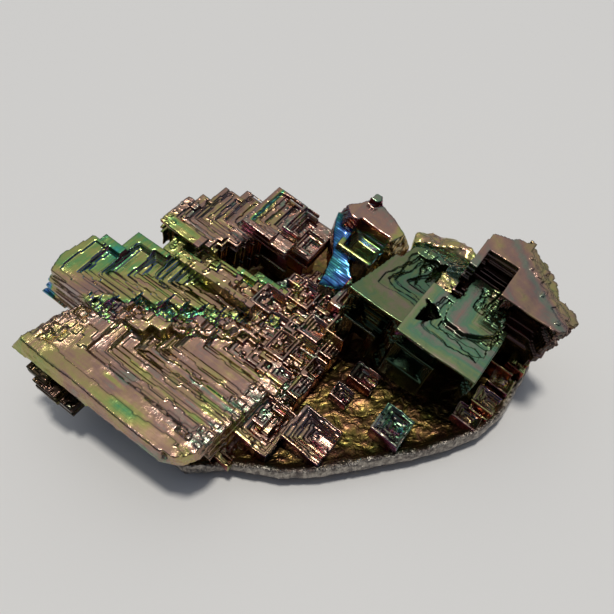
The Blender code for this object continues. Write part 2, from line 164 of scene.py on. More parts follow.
# %% The block grid
class Blocks:
    """One crystal as small blocks in its own axes, placed about its left corner."""

    def __init__(self, corner, axes, low, high, cell, seed, fine=FINE_DEPTH):
        self.corner, self.axes, self.cell = Vector(corner), axes, cell
        self.rng = np.random.default_rng(seed)
        self.lines = []
        for start, stop, size in zip(low, high, cell):
            line = np.linspace(start, stop, round((stop - start) / size) + 1)
            line[1:-1] += self.rng.uniform(-0.28, 0.28, len(line) - 2) * size
            self.lines.append(line)
        deep = self.lines[2] < -fine
        self.lines[2] = np.concatenate([self.lines[2][deep][::COARSER], self.lines[2][~deep]])
        self.mid = [(line[1:] + line[:-1]) / 2.0 for line in self.lines]
        self.full = np.zeros([len(mid) for mid in self.mid], bool)
        self.P, self.Q = np.meshgrid(self.mid[0], self.mid[1], indexing="ij")
        self.bent_p, self.bent_q = self.P, self.Q
        self.steps = [(0.0, 0.0), (10.0, 10.0)]

    def ripple(self, size):
        """Smooth noise over the plan, with features of about that size."""
        spots = np.stack([self.P.ravel(), self.Q.ravel(), np.zeros(self.P.size)], axis=1)
        return soft_noise(spots, size, int(self.rng.integers(1000))).reshape(self.P.shape)

    def bend(self, amount, size):
        """Let the ledges of the next pockets wave by about that amount."""
        self.bent_p = self.P + amount * self.ripple(size)
        self.bent_q = self.Q + amount * self.ripple(size)

    def span(self, axis, limits):
        return slice(*np.searchsorted(self.mid[axis], limits))

    def box(self, p, q, w, on=True):
        """Fill or clear a box; p, q and w are (from, to)."""
        self.full[self.span(0, p), self.span(1, q), self.span(2, w)] = on

    def plan(self, where, w, on=True):
        """Fill or clear everything over a patch of the plan, between two heights."""
        self.full[:, :, self.span(2, w)][where] = on

    def flare(self, top, foot, w):
        """Fill an outline whose lower end is drawn out or in to a second outline."""
        for k in range(*self.span(2, w).indices(len(self.mid[2]))):
            share = (w[1] - self.mid[2][k]) / (w[1] - w[0])
            ring = [(a + (c - a) * share, b + (d - b) * share) for (a, b), (c, d) in zip(top, foot)]
            self.full[:, :, k] |= inside(ring, self.P, self.Q)

    def wander(self, along, setback=2, pitch=3.0):
        """How far a ledge is set back at each place along it: it jogs a block at a time."""
        cuts = along.min() + np.cumsum(self.rng.uniform(0.2, 1.8, 80) * pitch)
        jogs = self.rng.integers(0, setback + 1, 81) * self.cell[0]
        return jogs[np.searchsorted(cuts, along)]

    def pocket(self, p, q, far, level, end=FAR, setback=1):
        """Where an L-shaped pocket lies, cleared above its level."""
        where = (self.bent_p > p + self.wander(self.Q, setback)) & (self.bent_p < end)
        where &= (self.bent_q > q + self.wander(self.P, setback)) & (self.bent_q < far)
        self.plan(where, (level, FAR), on=False)
        return where

    def lip(self, where, level, height):
        """A thin raised edge round a pocket, on the tread outside it."""
        ring = where.copy()
        for axis in (0, 1):
            for way in (1, -1):
                ring |= np.roll(where, way, axis)
        ring &= ~where
        under = np.searchsorted(self.mid[2], level) - 1
        ring &= self.full[:, :, under] & (self.wander(self.P + self.Q, 3, 5.0) > 0.0)
        self.plan(ring, (level, level + height))

    def terraces(self, steps, rim, bottom, lip=0.25, shares=LEDGES):
        """L-shaped steps going down, each broken into fine ledges; rows as in the solid model.

        A row is (p, q, level, far q, end of p). From the second step on a slab under each pocket
        carries the crystal outwards.
        """
        above = 0.0
        for i, (p, q, level, far, end) in enumerate(steps):
            if above < 0.0:
                self.box((p - LEAD, end), (q - LEAD, far + rim), (bottom, above))
            after = steps[min(i + 1, len(steps) - 1)]
            run = max(after[1] - q, 1.6)
            drop = level - above
            across, along = 0.0, 0.0
            self.bend(0.16, 3.0)
            for share in shares:
                where = self.pocket(p + across, q + along, far - 0.3 * along, above + drop * share)
                if across == 0.0 and lip:
                    self.lip(where, above, lip)
                across += self.rng.uniform(0.12, 0.34)
                along += run * self.rng.uniform(0.06, 0.22)
            above = level
        self.steps = [(p, q) for p, q, *_ in steps]

    def arches(self, p, w, depths, inset):
        """An open front under a thin top: each arch stands inside the one before and goes deeper."""
        for i, depth in enumerate(depths):
            side = inset * (i + 1)
            self.box((p[0] + side, p[1] - side), (-FAR, depth), (w[0] - 1.0, w[1] - 0.8 * side), on=False)

    def heap(self, where, level):
        """Fill a patch of the plan up to a level that may change from place to place."""
        self.full |= where[:, :, None] & (self.mid[2][None, None, :] < level[:, :, None])

    def sprout(self, p, q, across, level, pitch, drop, floors, open_end=True):
        """A little hopper standing up to its level, with nested pockets sunk in its top."""
        self.box((p, p + across[0]), (q, q + across[1]), (self.mid[2][0], level))
        for k in range(1, floors + 1):
            end = FAR if open_end else p + across[0] - pitch * k * 0.7
            where = (self.P > p + pitch * k) & (self.P < min(end, p + across[0] + 0.5))
            where &= (self.Q > q + pitch * k) & (self.Q < q + across[1] - pitch * k * 0.5)
            self.plan(where, (level - drop * k, level + 0.1), on=False)

    def groove(self, top, most=2):
        """Set whole layers below that height back a little, which draws level lines round the sides."""
        k = int(np.searchsorted(self.mid[2], top))
        while k > 0:
            layers = slice(max(k - int(self.rng.integers(1, 7)), 0), k)
            part = self.full[:, :, layers]
            for _ in range(self.rng.integers(0, most + 1)):
                part = part & np.roll(part, 1, 0) & np.roll(part, -1, 0)
                part = part & np.roll(part, 1, 1) & np.roll(part, -1, 1)
            self.full[:, :, layers] = part
            k = layers.start

    def crumbs(self, where, count, size=(1, 4), tall=(1, 3)):
        """Small blocks scattered over a patch of the plan, each on whatever is under it."""
        spots = np.argwhere(where)
        if not len(spots):
            return
        heights = self.full.shape[2]
        top = heights - np.argmax(self.full[:, :, ::-1], axis=2)
        top[~self.full.any(axis=2)] = 0
        for spot in spots[self.rng.integers(0, len(spots), count)]:
            across = self.rng.integers(size[0], size[1] + 1, 2)
            patch = tuple(slice(s, s + a) for s, a in zip(spot, across))
            base = top[patch].min()
            if base > 0:
                rise = base + self.rng.integers(tall[0], tall[1] + 1)
                self.full[patch][:, :, base:rise] = True
                top[patch] = np.maximum(top[patch], rise)

    def pits(self, where, count, size=(2, 5), deep=3):
        """Small stepped pits sunk in a patch of the plan."""
        spots = np.argwhere(where)
        if not len(spots):
            return
        for spot in spots[self.rng.integers(0, len(spots), count)]:
            across = self.rng.integers(size[0], size[1] + 1, 2)
            column = self.full[spot[0], spot[1]]
            if not column.any():
                continue
            top = len(column) - np.argmax(column[::-1])
            for level in range(deep):
                low = spot - across + level
                high = spot + across - level
                if (high > low).all() and (low > 0).all():
                    patch = tuple(slice(a, b) for a, b in zip(low, high))
                    self.full[patch][:, :, top - 1 - level:] = False

    def knit(self):
        """Fill where blocks touch only along an edge, then keep what hangs together."""
        for _ in range(12):
            fixed = 0
            for a, b in ((0, 1), (0, 2), (1, 2)):
                f = np.moveaxis(self.full, (a, b), (0, 1))
                one, two, three, four = f[:-1, :-1], f[1:, :-1], f[:-1, 1:], f[1:, 1:]
                rising = one & four & ~two & ~three
                falling = two & three & ~one & ~four
                two |= rising
                one |= falling
                fixed += rising.sum() + falling.sum()
            if not fixed:
                break
        seeds = np.zeros_like(self.full)
        layer = int(np.argmax(self.full.sum(axis=(0, 1))))
        seeds[:, :, layer] = self.full[:, :, layer]
        self.full = reach(self.full, seeds)


print("block grid class is ready")

# %% [markdown]
# ## From blocks to a surface
# The skin of the grid is every square between a full block and an empty one. A light smoothing rounds the
# ledges' edges the way growth leaves them, and a slow wave keeps the long ledges from being ruler
# straight. Each square also keeps numbers for the shader: its film thickness, where it lies between the
# growth steps, how crumbly it is, and how much painted shade darkens its colour.

# %% The surface of the blocks
SIX_ZEROS = (0.0,) * 6
SIDES = [(0, 1), (0, -1), (1, 1), (1, -1), (2, 1), (2, -1)]  # +p, -p, +q, -q, +w, -w
CORNERS = [(0, 0), (1, 0), (1, 1), (0, 1)]


def skin(full):
    """Squares between full and empty blocks: grid corners of each, its side and its block."""
    padded = np.pad(full, 1)
    middle = (slice(1, -1),) * 3
    quads, sides, cells = [], [], []
    shape = np.array(full.shape) + 1
    for number, (axis, way) in enumerate(SIDES):
        beyond = np.roll(padded, -way, axis)[middle]
        cell = np.argwhere(full & ~beyond)
        b, c = (axis + 1) % 3, (axis + 2) % 3
        square = []
        for u, v in CORNERS if way > 0 else CORNERS[::-1]:
            corner = cell.copy()
            corner[:, axis] += way > 0
            corner[:, b] += u
            corner[:, c] += v
            square.append(np.ravel_multi_index(tuple(corner.T), shape))
        quads.append(np.stack(square, axis=1))
        sides.append(np.full(len(cell), number))
        cells.append(cell)
    return np.concatenate(quads), np.concatenate(sides), np.concatenate(cells), shape


def smoothed(points, quads, amount, rounds):
    """Move each point towards the mean of its neighbours, which rounds the edges."""
    a = quads.ravel()
    b = np.roll(quads, -1, axis=1).ravel()
    count = np.bincount(a, minlength=len(points)) + np.bincount(b, minlength=len(points))
    for _ in range(rounds):
        total = np.empty_like(points)
        for i in range(3):
            total[:, i] = np.bincount(a, points[b, i], len(points))
            total[:, i] += np.bincount(b, points[a, i], len(points))
        points = points + amount * (total / count[:, None] - points)
    return points


def surface(blocks, film, shade=SIX_ZEROS, rough=None, tint=None, soft=None, wave=0.10, rounds=1, dark=None):
    """The crystal's skin in the frame, with its film thickness and growth numbers.

    film is (six side values, drift along p, q and w, jump from plane to plane), and shade is painted
    shade: how much each side's colour is darkened, set per side and cast by no light. rough, tint and
    soft are functions of p, q, w (and growth): how crumbly, how much film to add, and how much more to
    smooth, with the film value where it is smoothed. dark is one more function of p, q and w: how much
    more painted shade darkens the colour there.
    """
    blocks.knit()
    quads, sides, cells, shape = skin(blocks.full)
    used, quads = np.unique(quads, return_inverse=True)
    quads = quads.reshape(-1, 4)
    grid = np.stack(np.unravel_index(used, shape), axis=1)
    local = np.stack([blocks.lines[i][grid[:, i]] for i in range(3)], axis=1)
    centre = local[quads].mean(axis=1)
    points = smoothed(local, quads, 0.4, rounds)
    base, drift, jump = film
    value = np.array(base)[sides] + centre @ np.array(drift)
    for axis in range(3):
        table = blocks.rng.uniform(-jump, jump, len(blocks.lines[axis]))
        on_axis = sides // 2 == axis
        value[on_axis] += table[cells[on_axis, axis]]
    # Painted shade: each side's colour is darkened by its set amount, and dark adds more where it is given.
    painted_shade = np.array(shade)[sides]
    if dark:
        painted_shade = np.minimum(painted_shade + dark(*centre.T), 1.0)
    if soft:
        where, soft_film = soft
        points = smoothed(points, quads, 0.5 * where(*local.T)[:, None], 8)
        value += (soft_film - value) * where(*centre.T)

    shift = np.stack([soft_noise(points, 7.0, 11 + i) for i in range(3)], axis=1) * wave
    shift += np.stack([soft_noise(points, 1.6, 21 + i) for i in range(3)], axis=1) * wave * 0.3
    crumble = np.zeros(len(points)) if rough is None else np.clip(rough(*local.T), 0.0, 1.0)
    grit = np.stack([soft_noise(points, 0.5, 31 + i) for i in range(3)], axis=1)
    points = points + shift + grit * (0.16 * crumble)[:, None]

    p_steps, q_steps = np.array(blocks.steps).T
    index = np.arange(len(p_steps)) * 3.0
    grown_p = along_steps(local[:, 0], p_steps, index)
    grown_q = along_steps(local[:, 1], q_steps, index)
    growth = np.minimum(grown_p, grown_q)
    place = np.array(blocks.axes) @ points.T
    world = place.T + np.array(blocks.corner - SETTLE)
    world[:, 2] = np.clip(world[:, 2], LOWEST, cad_box[1][2] / MM - LOWEST)
    added = np.zeros(len(points)) if tint is None else tint(*local.T, growth)
    return {
        "points": world, "quads": quads, "film": value, "shade": painted_shade, "place": local,
        "growth": growth, "crumble": crumble, "tint": added,
    }


def below(depth, amount):
    """Painted shade: darker from that depth down, where less light comes in."""
    return lambda p, q, w: amount * np.clip((-depth - w) / 1.5, 0.0, 1.0)


def stripes(growth, size, seed):
    """Noise that changes only with growth, between -1 and 1."""
    return soft_noise(np.stack([growth, 0.0 * growth, 0.0 * growth], axis=1), size, seed)


def spread(p, q, size, seed):
    """Smooth noise over p and q, between -1 and 1."""
    return soft_noise(np.stack([p, q, 0.0 * p], axis=1), size, seed)


def along_steps(values, steps, index):
    """Where each value lies between the steps, carried on past the first and the last of them."""
    slope = (index[-1] - index[0]) / (steps[-1] - steps[0])
    inner = np.interp(values, steps, index)
    return inner + np.minimum(values - steps[0], 0.0) * slope + np.maximum(values - steps[-1], 0.0) * slope


def make_piece(name, parts, material):
    """One object from one or more surfaces, riding on the frame in place of the solid model."""
    points, quads, offset = [], [], 0
    for part in parts:
        points.append(part["points"])
        quads.append(part["quads"] + offset)
        offset += len(part["points"])
    mesh = bpy.data.meshes.new(name)
    mesh.from_pydata(np.concatenate(points) * MM, [], np.concatenate(quads))
    for key, kind, domain in (
        ("film", "FLOAT", "FACE"), ("shade", "FLOAT", "FACE"), ("growth", "FLOAT", "POINT"),
        ("crumble", "FLOAT", "POINT"), ("tint", "FLOAT", "POINT"), ("place", "FLOAT_VECTOR", "POINT"),
    ):
        values = np.concatenate([part[key] for part in parts]).astype(np.float32)
        field = "vector" if kind == "FLOAT_VECTOR" else "value"
        mesh.attributes.new(key, kind, domain).data.foreach_set(field, values.ravel())
    mesh.shade_smooth()
    mesh.materials.append(material)
    piece = bpy.data.objects.new(name, mesh)
    bpy.context.scene.collection.objects.link(piece)
    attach(piece, "root")
    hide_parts(NODE)
    print(name, "has", 2 * len(mesh.polygons), "triangles")
    return piece


# %% [markdown]
# ## Sums in a shader
# A node tree is easier to read as arithmetic. This small class wraps a socket, and each Python operator
# on it adds the Math node that works it out. Every other node comes from one method.


# %% Sockets that add up
class Value:
    """A number in a shader, which Python's operators work on."""

    def __init__(self, board, socket):
        self.board, self.socket = board, socket

    def math(self, operation, *others, first=None):
        terms = [self, *others] if first is None else [first, self]
        return self.board.node("ShaderNodeMath", {"operation": operation}, *terms)

    def __add__(self, other):
        return self.math("ADD", other)

    def __sub__(self, other):
        return self.math("SUBTRACT", other)

    def __rsub__(self, other):
        return self.math("SUBTRACT", first=other)

    def __mul__(self, other):
        return self.math("MULTIPLY", other)

    __radd__ = __add__
    __rmul__ = __mul__

    def above(self, low, high):
        """0 below low and 1 above high, with a smooth step between."""
        settings = {"interpolation_type": "SMOOTHSTEP"}
        return self.board.node("ShaderNodeMapRange", settings, self, low, high)


class Board:
    """The node tree of one material, with its shader ready to plug into."""

    def __init__(self, name, **shader_values):
        self.material = bpy.data.materials.new(name)
        self.material.use_nodes = True
        self.tree = self.material.node_tree
        self.shader = self.tree.nodes["Principled BSDF"]
        for key, value in shader_values.items():
            self.shader.inputs[key.replace("_", " ")].default_value = value

    def node(self, kind, settings=None, *places, out=0, **named):
        """A node of that kind: its settings first, then values or links for its sockets."""
        node = self.tree.nodes.new(kind)
        for key, value in (settings or {}).items():
            if key == "stops":
                fill_ramp(node.color_ramp, value)
            else:
                setattr(node, key, value)
        for place, value in list(enumerate(places)) + list(named.items()):
            place = place.replace("_", " ") if isinstance(place, str) else place
            self.plug(value, node.inputs[place])
        return Value(self, node.outputs[out])

    def plug(self, value, socket):
        if isinstance(value, Value):
            self.tree.links.new(value.socket, socket)
        else:
            socket.default_value = value

    def attribute(self, name, out=2):
        return self.node("ShaderNodeAttribute", {"attribute_name": name}, out=out)

    def noise(self, vector, scale, detail=2.0, **named):
        return self.node("ShaderNodeTexNoise", None, Vector=vector, Scale=scale, Detail=detail, **named)

    def mix(self, share, one, two, blend="MIX"):
        """A blend of two colours, through a Mix node."""
        settings = {"data_type": "RGBA", "blend_type": blend}
        node = self.tree.nodes.new("ShaderNodeMix")
        for key, value in settings.items():
            setattr(node, key, value)
        for socket, value in zip((node.inputs[0], node.inputs[6], node.inputs[7]), (share, one, two)):
            self.plug(value, socket)
        return Value(self, node.outputs[2])


def fill_ramp(ramp, stops):
    """Put a list of (place, colour) on a colour ramp."""
    while len(ramp.elements) < len(stops):
        ramp.elements.new(0.5)
    for element, (place, colour) in zip(ramp.elements, stops):
        element.position = place
        element.color = (*colour, 1.0)


# %% [markdown]
# ## The oxide film
# The colour of the skin depends on its thickness alone: silver where it is thinnest, then gold, copper,
# purple, blue, green, yellow-green, pink and green again. So one ramp holds the whole series, and a
# single number, the film, picks the place on it. Film thickness follows the growth of the crystal, which
# gives bands that run parallel to the ledges.

# %% The oxide series
OXIDE = [
    (0.00, (0.62, 0.57, 0.50)), (0.06, (0.80, 0.66, 0.34)), (0.13, (0.84, 0.44, 0.16)),
    (0.19, (0.62, 0.14, 0.08)), (0.25, (0.50, 0.10, 0.20)), (0.31, (0.34, 0.13, 0.36)),
    (0.37, (0.15, 0.15, 0.50)), (0.43, (0.12, 0.34, 0.72)), (0.48, (0.10, 0.42, 0.46)),
    (0.54, (0.08, 0.40, 0.24)), (0.61, (0.20, 0.42, 0.15)), (0.68, (0.38, 0.44, 0.14)),
    (0.75, (0.49, 0.42, 0.16)), (0.82, (0.50, 0.32, 0.20)), (0.88, (0.42, 0.25, 0.205)),
    (0.94, (0.31, 0.30, 0.23)), (1.00, (0.17, 0.34, 0.20)), (1.06, (0.30, 0.38, 0.17)),
    (1.12, (0.42, 0.35, 0.24)), (1.18, (0.42, 0.27, 0.31)), (1.24, (0.24, 0.33, 0.26)),
]
THICKEST = 1.25


def oxide_colour(board, film):
    """The colour of the oxide at that film thickness."""
    stops = [(place / THICKEST, colour) for place, colour in OXIDE]
    return board.node("ShaderNodeValToRGB", {"stops": stops}, film * (1.0 / THICKEST))


def oxide_metal():
    """Bismuth under its oxide film, for every crystal."""
    board = Board("oxidised_bismuth", Metallic=1.0)
    place = board.attribute("place", out=1)
    growth = board.attribute("growth")
    specks = board.noise(place, 0.3, detail=3.0).above(0.54, 0.66)
    crumble = board.attribute("crumble") + specks * 0.35

    slow = board.noise(place, 0.16, detail=2.0)
    bands = board.node("ShaderNodeTexNoise", {"noise_dimensions": "1D"}, W=growth, Scale=1.6, Detail=3.0)
    patches = board.noise(place, 0.7, detail=3.0, Distortion=0.6)
    grit = board.noise(place, 3.2, detail=3.0)
    film = board.attribute("film") + board.attribute("tint") + (slow - 0.5) * 0.16 + (bands - 0.5) * 0.16
    film = film + (patches - 0.5) * 0.12 + (grit - 0.5) * (crumble * 0.3 + 0.02)
    colour = oxide_colour(board, film)
    # Painted shade: the shade attribute multiplies the oxide colour towards a dark brown.
    colour = board.mix(board.attribute("shade"), colour, (0.10, 0.085, 0.075, 1.0), blend="MULTIPLY")

    worn = board.noise(place, 1.4, detail=4.0)
    roughness = worn * 0.10 + crumble * 0.08 + 0.14
    lines = board.node("ShaderNodeTexNoise", {"noise_dimensions": "1D"}, W=growth, Scale=7.0, Detail=3.0)
    wavy = board.noise(place, 0.9, detail=2.0)
    height = lines * 0.022 + wavy * 0.012 + grit * (crumble * 0.11 + 0.004)
    bump = board.node("ShaderNodeBump", None, Height=height, Distance=MM, Strength=1.0)
    board.plug(colour, board.shader.inputs["Base Color"])
    board.plug(roughness, board.shader.inputs["Roughness"])
    board.plug(bump, board.shader.inputs["Normal"])
    return board.material


oxide = oxide_metal()
print(oxide.name, "uses", len(oxide.node_tree.nodes), "nodes")

# %% [markdown]
# ## The broad front plate
# The plate at the front left is the biggest crystal. Its long arms run along the front edge, its back
# edge is crumbly, and its side band flares a little outwards. Underneath it steps inwards again.


# %% Front plate
def plate_a():
    a = Blocks(*FRONT_PLATE, (-2.2, -3.8, -14.0), (46.0, 39.4, 1.0), (0.31, 0.31, 0.22), 1, 10.6)
    outline = [
        (0.0, 0.0), (36.0, 0.0), (39.4, 1.2), (41.0, 4.0), (41.2, 20.5), (20.0, 20.5), (18.0, 20.0),
        (9.0, 19.0), (3.8, 14.2), (1.8, 8.2),
    ]
    foot = [
        (-1.9, -1.6), (36.2, -0.6), (40.0, 1.4), (41.4, 4.4), (41.2, 20.5), (20.0, 20.5), (18.0, 20.0),
        (9.0, 19.0), (3.4, 14.2), (0.6, 8.2),
    ]
    a.flare(outline, foot, (-3.2, 0.0))
    for i in range(6):
        a.box((1.6 + i, 18.0 - 0.7 * i), (-1.0 + i, 8.0), (-4.2 - i, -3.0))
    a.box((6.0, 14.0), (0.6, 12.0), (-12.0, -3.0))
    lumps = (
        ((2.8, 8.0), -2.4, (-7.4, -4.4)), ((5.0, 11.0), -3.2, (-9.4, -6.4)),
        ((8.6, 14.0), -2.6, (-11.0, -8.4)),
    )
    for p, q, w in lumps:
        a.box(p, (q, 3.0), w)
    a.crumbs((a.Q < -1.0) & (a.P < 14.0), 60, size=(1, 3), tall=(1, 2))
    steps = [
        (11.0, 5.9, -1.2, 15.1, 41.0), (13.6, 8.4, -2.3, 15.3, 41.0), (16.6, 12.4, -3.5, 17.8, 41.4),
        (19.3, 15.6, -4.6, 20.4, 41.2), (21.2, 18.1, -5.5, 24.0, 40.8), (24.7, 22.4, -6.6, 28.0, 41.6),
        (28.4, 25.2, -7.6, 30.5, 42.4), (32.5, 27.6, -8.6, 33.0, 43.6), (36.4, 29.8, -9.6, 35.0, 45.0),
    ]
    for p, q in ((4.4, 2.6), (6.6, 3.4), (8.8, 4.6)):
        a.bend(0.5, 4.0)
        a.pocket(p, q, 13.5, -0.2)
    a.terraces(steps, rim=3.4, bottom=-14.0)
    edge = inside(outline, a.P, a.Q)
    back = edge & (a.P < 10.0) & (a.Q > 2.5) & (a.Q < 19.0)
    a.crumbs(back & (a.P < 0.6 + 0.4 * a.Q), 110, size=(2, 4), tall=(1, 1))
    a.crumbs(back, 30, size=(3, 7), tall=(1, 1))
    behind = a.Q - 15.1 - 0.8 * (a.P - 11.0)
    strip = (behind > -0.4) & (behind < 4.2) & (a.P > 9.0)
    a.crumbs(strip, 260, size=(2, 6), tall=(1, 2))
    a.pits(strip, 40, size=(2, 4), deep=2)
    a.pits(back & (a.P < 6.0), 10, size=(2, 4))
    a.groove(-3.6, 1)
    a.crumbs((a.P > 37.0) & (a.Q < 32.0), 200, size=(1, 5), tall=(1, 2))
    a.pits((a.P > 36.0) & (a.Q < 6.0), 8, size=(2, 4))
    return a


def rough_a(p, q, w):
    """The back edge, the tip and the far end are crumbly."""
    back = np.clip((9.0 - p) / 4.0, 0.0, 1.0) * np.clip((q - 1.0) / 3.0, 0.0, 1.0)
    end = np.clip((p - 37.0) / 3.0, 0.0, 0.6)
    patch = np.clip(soft_noise(np.stack([p, q, w], axis=1), 3.0, 5) * 2.0 - 0.9, 0.0, 0.7)
    band = 0.4 * (q < 0.3) * (w > -3.6)
    return np.maximum(np.maximum(back, end), np.maximum(patch * (p < 40.0), band))


def tint_a(p, q, w, growth):
    """Olive and gold along the long arms, a pale green patch on the front band, copper at the back."""
    patch = np.exp(-((p - 25.0) / 6.0) ** 2 - ((q - 1.4 - 0.12 * (p - 22.0)) / 1.6) ** 2)
    arms = np.clip((p - q - 4.0) / 8.0, 0.0, 1.0) * (q > 4.5)
    flames = np.clip(stripes(growth + 0.05 * p, 0.9, 51) * 1.6, -0.3, 1.0)
    flames = flames * np.clip(spread(p, q, 5.0, 52) + 0.7, 0.0, 1.0)
    back = np.clip((q - p - 1.0) / 4.0, 0.0, 1.0)
    side = np.clip((0.5 - q) / 0.4, 0.0, 1.0) * np.clip((p - 8.0) / 6.0, 0.0, 1.0)
    side_film = 0.11 * side + 0.10 * side * spread(p, w, 2.5, 50)
    back_film = 0.05 * back + 0.05 * np.clip((p - 36.5) / 2.0, 0.0, 1.0)
    return side_film + back_film - 0.19 * patch - 0.15 * arms * flames + 0.04 * spread(p, q, 3.0, 53)


def side_a(p, q, w):
    """The flared side band and the rounded front corner are smooth."""
    band = np.clip((0.5 - q) / 0.4, 0.0, 1.0) * (w > -3.6)
    corner = np.clip((p - 37.0) / 2.0, 0.0, 1.0) * np.clip((5.0 - q) / 2.0, 0.0, 1.0)
    return np.maximum(band, 0.7 * corner)


front = surface(
    plate_a(), film=([0.72, 0.84, 0.72, 0.72, 0.81, 0.70], (0.001, 0.0005, 0.0), 0.025),
    # Painted shade: shade darkens each side by a set amount, and dark darkens the lumps under the plate's
    # left end as if they lay in its shadow.
    shade=(0.1, 0.3, 0.3, 0.2, 0.0, 0.5), rough=rough_a, tint=tint_a, soft=(side_a, 0.73),
    dark=lambda p, q, w: 0.8 * (w < -3.4) * (p < 16.0),
)
make_piece("front_plate", [front], oxide)

# %% [markdown]
# ## The green plate
# Behind it stands a second plate with short sawtooth arms, green where the first is pink.


# %% Green plate
def plate_b():
    b = Blocks(*GREEN_PLATE, (-4.6, -3.4, -17.0), (39.4, 29.8, 1.0), (0.31, 0.31, 0.22), 2, 11.0)
    outline = [(0.8, -1.8), (12.1, -2.4), (12.1, 9.6), (0.6, 9.6), (-0.6, 2.1)]
    foot = [(-4.4, -3.1), (10.0, -2.8), (12.1, 9.6), (0.4, 9.6), (-3.0, 1.0)]
    b.flare(outline, foot, (-10.5, 0.0))
    b.box((2.0, 14.5), (-1.0, 11.4), (-11.0, -0.4))
    b.box((5.2, 17.0), (2.5, 17.3), (-13.0, -2.0))
    steps = [
        (4.1, 0.7, -1.4, 9.8, 14.5), (7.7, 4.2, -2.7, 14.8, 17.0), (11.5, 7.8, -4.0, 15.4, 21.3),
        (14.6, 11.0, -5.2, 19.2, 24.1), (17.2, 13.2, -6.3, 19.6, 27.1), (19.3, 15.2, -7.3, 22.4, 29.5),
        (21.6, 17.6, -8.3, 23.8, 32.6), (25.6, 20.9, -9.3, 25.8, 36.0), (29.4, 23.0, -10.3, 27.6, 39.0),
    ]
    b.pocket(1.6, -0.8, 8.9, -0.4)
    b.terraces(steps, rim=2.0, bottom=-17.0, shares=CLOSE_LEDGES)
    b.groove(-1.0, 1)
    ends = b.P - 1.11 * b.Q
    seam = (ends > 8.0) & (ends < 21.5) & (b.P > 11.5) & (b.Q > -2.6)
    b.heap(seam, -2.7 - 0.36 * (b.P - 17.4) - 0.5 * np.clip(14.0 - ends, 0.0, 6.0) + 0.6 * b.ripple(1.3))
    edge = (ends > 12.0) & (ends < 21.5) & (b.P > 10.0)
    b.crumbs(edge, 320, size=(1, 3), tall=(1, 2))
    b.crumbs(edge, 90, size=(2, 6), tall=(1, 2))
    b.pits(edge, 20, size=(2, 4))
    return b


def rough_b(p, q, w):
    band = np.clip((p - 1.11 * q - 11.0) / 4.0, 0.0, 0.8)
    patch = np.clip(soft_noise(np.stack([p, q, w], axis=1), 2.6, 6) * 2.0 - 0.8, 0.0, 0.8)
    return np.maximum(band * (p > 2.0), patch)


def tint_b(p, q, w, growth):
    """Green on the rims at the back, mauve brown on the near arms, green again along the seam."""
    rims = np.clip((q - 0.88 * p + 3.4) / 3.0, 0.0, 1.0)
    seam = np.clip((p - 1.11 * q - 11.5) / 2.0, 0.0, 1.0)
    facet = np.clip((-0.5 - p) / 0.6, 0.0, 1.0) * (q < 2.4)
    sides = -0.29 * facet - 0.12 * rims - 0.14 * seam
    return sides + 0.07 * spread(p, q, 3.4, 54) + 0.04 * stripes(growth, 0.7, 55)


def side_b(p, q, w):
    """The flared left end is smooth."""
    return np.clip((0.6 - p) / 0.6, 0.0, 1.0) * (w < -0.3) * (w > -9.6) * (q < 3.0)


green = surface(
    plate_b(), film=([0.50, 0.43, 0.66, 0.84, 0.80, 0.70], (0.0, -0.001, 0.0), 0.035),
    # Painted shade: each side's colour is darkened by its set shade amount.
    shade=(0.0, 0.35, 0.4, 0.4, 0.0, 0.5), rough=rough_b, tint=tint_b, soft=(side_b, 0.86),
)
make_piece("green_plate", [green], oxide)

# %% [markdown]
# ## The back plate and its ridge
# A narrower plate stands at the back left, with a low green ridge in the corner in front of it.


# %% Back plate
def plate_c():
    c = Blocks(*BACK_PLATE, (-0.6, -1.0, -15.0), (18.4, 21.4, 1.0), (0.27, 0.27, 0.18), 3, 6.0)
    c.box((0.0, 10.4), (-0.6, 8.2), (-11.0, 0.0))
    c.box((1.8, 12.0), (1.0, 11.5), (-12.0, -0.6))
    c.box((2.6, 13.0), (4.0, 17.6), (-14.0, -1.4))
    steps = [
        (1.8, 2.1, -0.7, 6.4, 11.0), (3.3, 3.8, -1.3, 10.6, 11.4), (4.6, 6.0, -2.0, 16.6, 12.2),
        (6.2, 8.3, -2.8, 17.0, 15.4), (8.1, 10.4, -3.7, 20.2, 16.2), (10.4, 12.4, -4.6, 19.4, 17.0),
        (12.4, 14.2, -5.6, 18.6, 17.8),
    ]
    c.terraces(steps, rim=0.9, bottom=-15.0, lip=0.18)
    c.arches((0.0, 10.4), (-11.0, 0.0), (0.8, 1.4, 3.6, 5.0), 0.7)
    c.groove(-0.8)
    c.crumbs(c.P < 3.0, 90, size=(1, 3), tall=(1, 1))
    c.crumbs(c.P > 4.0, 60, size=(1, 3), tall=(1, 1))
    return c


def ridge_b():
    r = Blocks((-25.5, 15.0, 20.5), FLAT_AXES, (-0.4, -0.4, -15.0), (24.4, 7.4, 0.8), (0.30, 0.30, 0.20), 4)
    r.box((0.0, 24.0), (0.0, 7.0), (-15.0, 0.0))
    r.steps = [(2.4, 1.2), (16.0, 6.0)]
    for p, q, far, level in ((2.4, 2.2, 6.0, -1.3), (9.0, 3.2, 7.6, -2.6), (16.0, 1.2, 8.0, -4.0)):
        for part in (0.3, 0.6, 0.8, 1.0):
            r.pocket(p + part, q + 0.4 * part, far, level - 1.3 * (1.0 - part))
    r.groove(-1.0)
    r.crumbs(r.Q > 0.0, 110, size=(1, 3), tall=(1, 1))
    return r


def tint_c(p, q, w, growth):
    """Olive green along the front band, mauve brown on the rest."""
    front_band = np.clip((2.6 - q) / 1.0, 0.0, 1.0) * (p < 9.0)
    return -0.14 * front_band + 0.07 * spread(p, q, 2.5, 56) + 0.06 * stripes(growth, 0.8, 57)


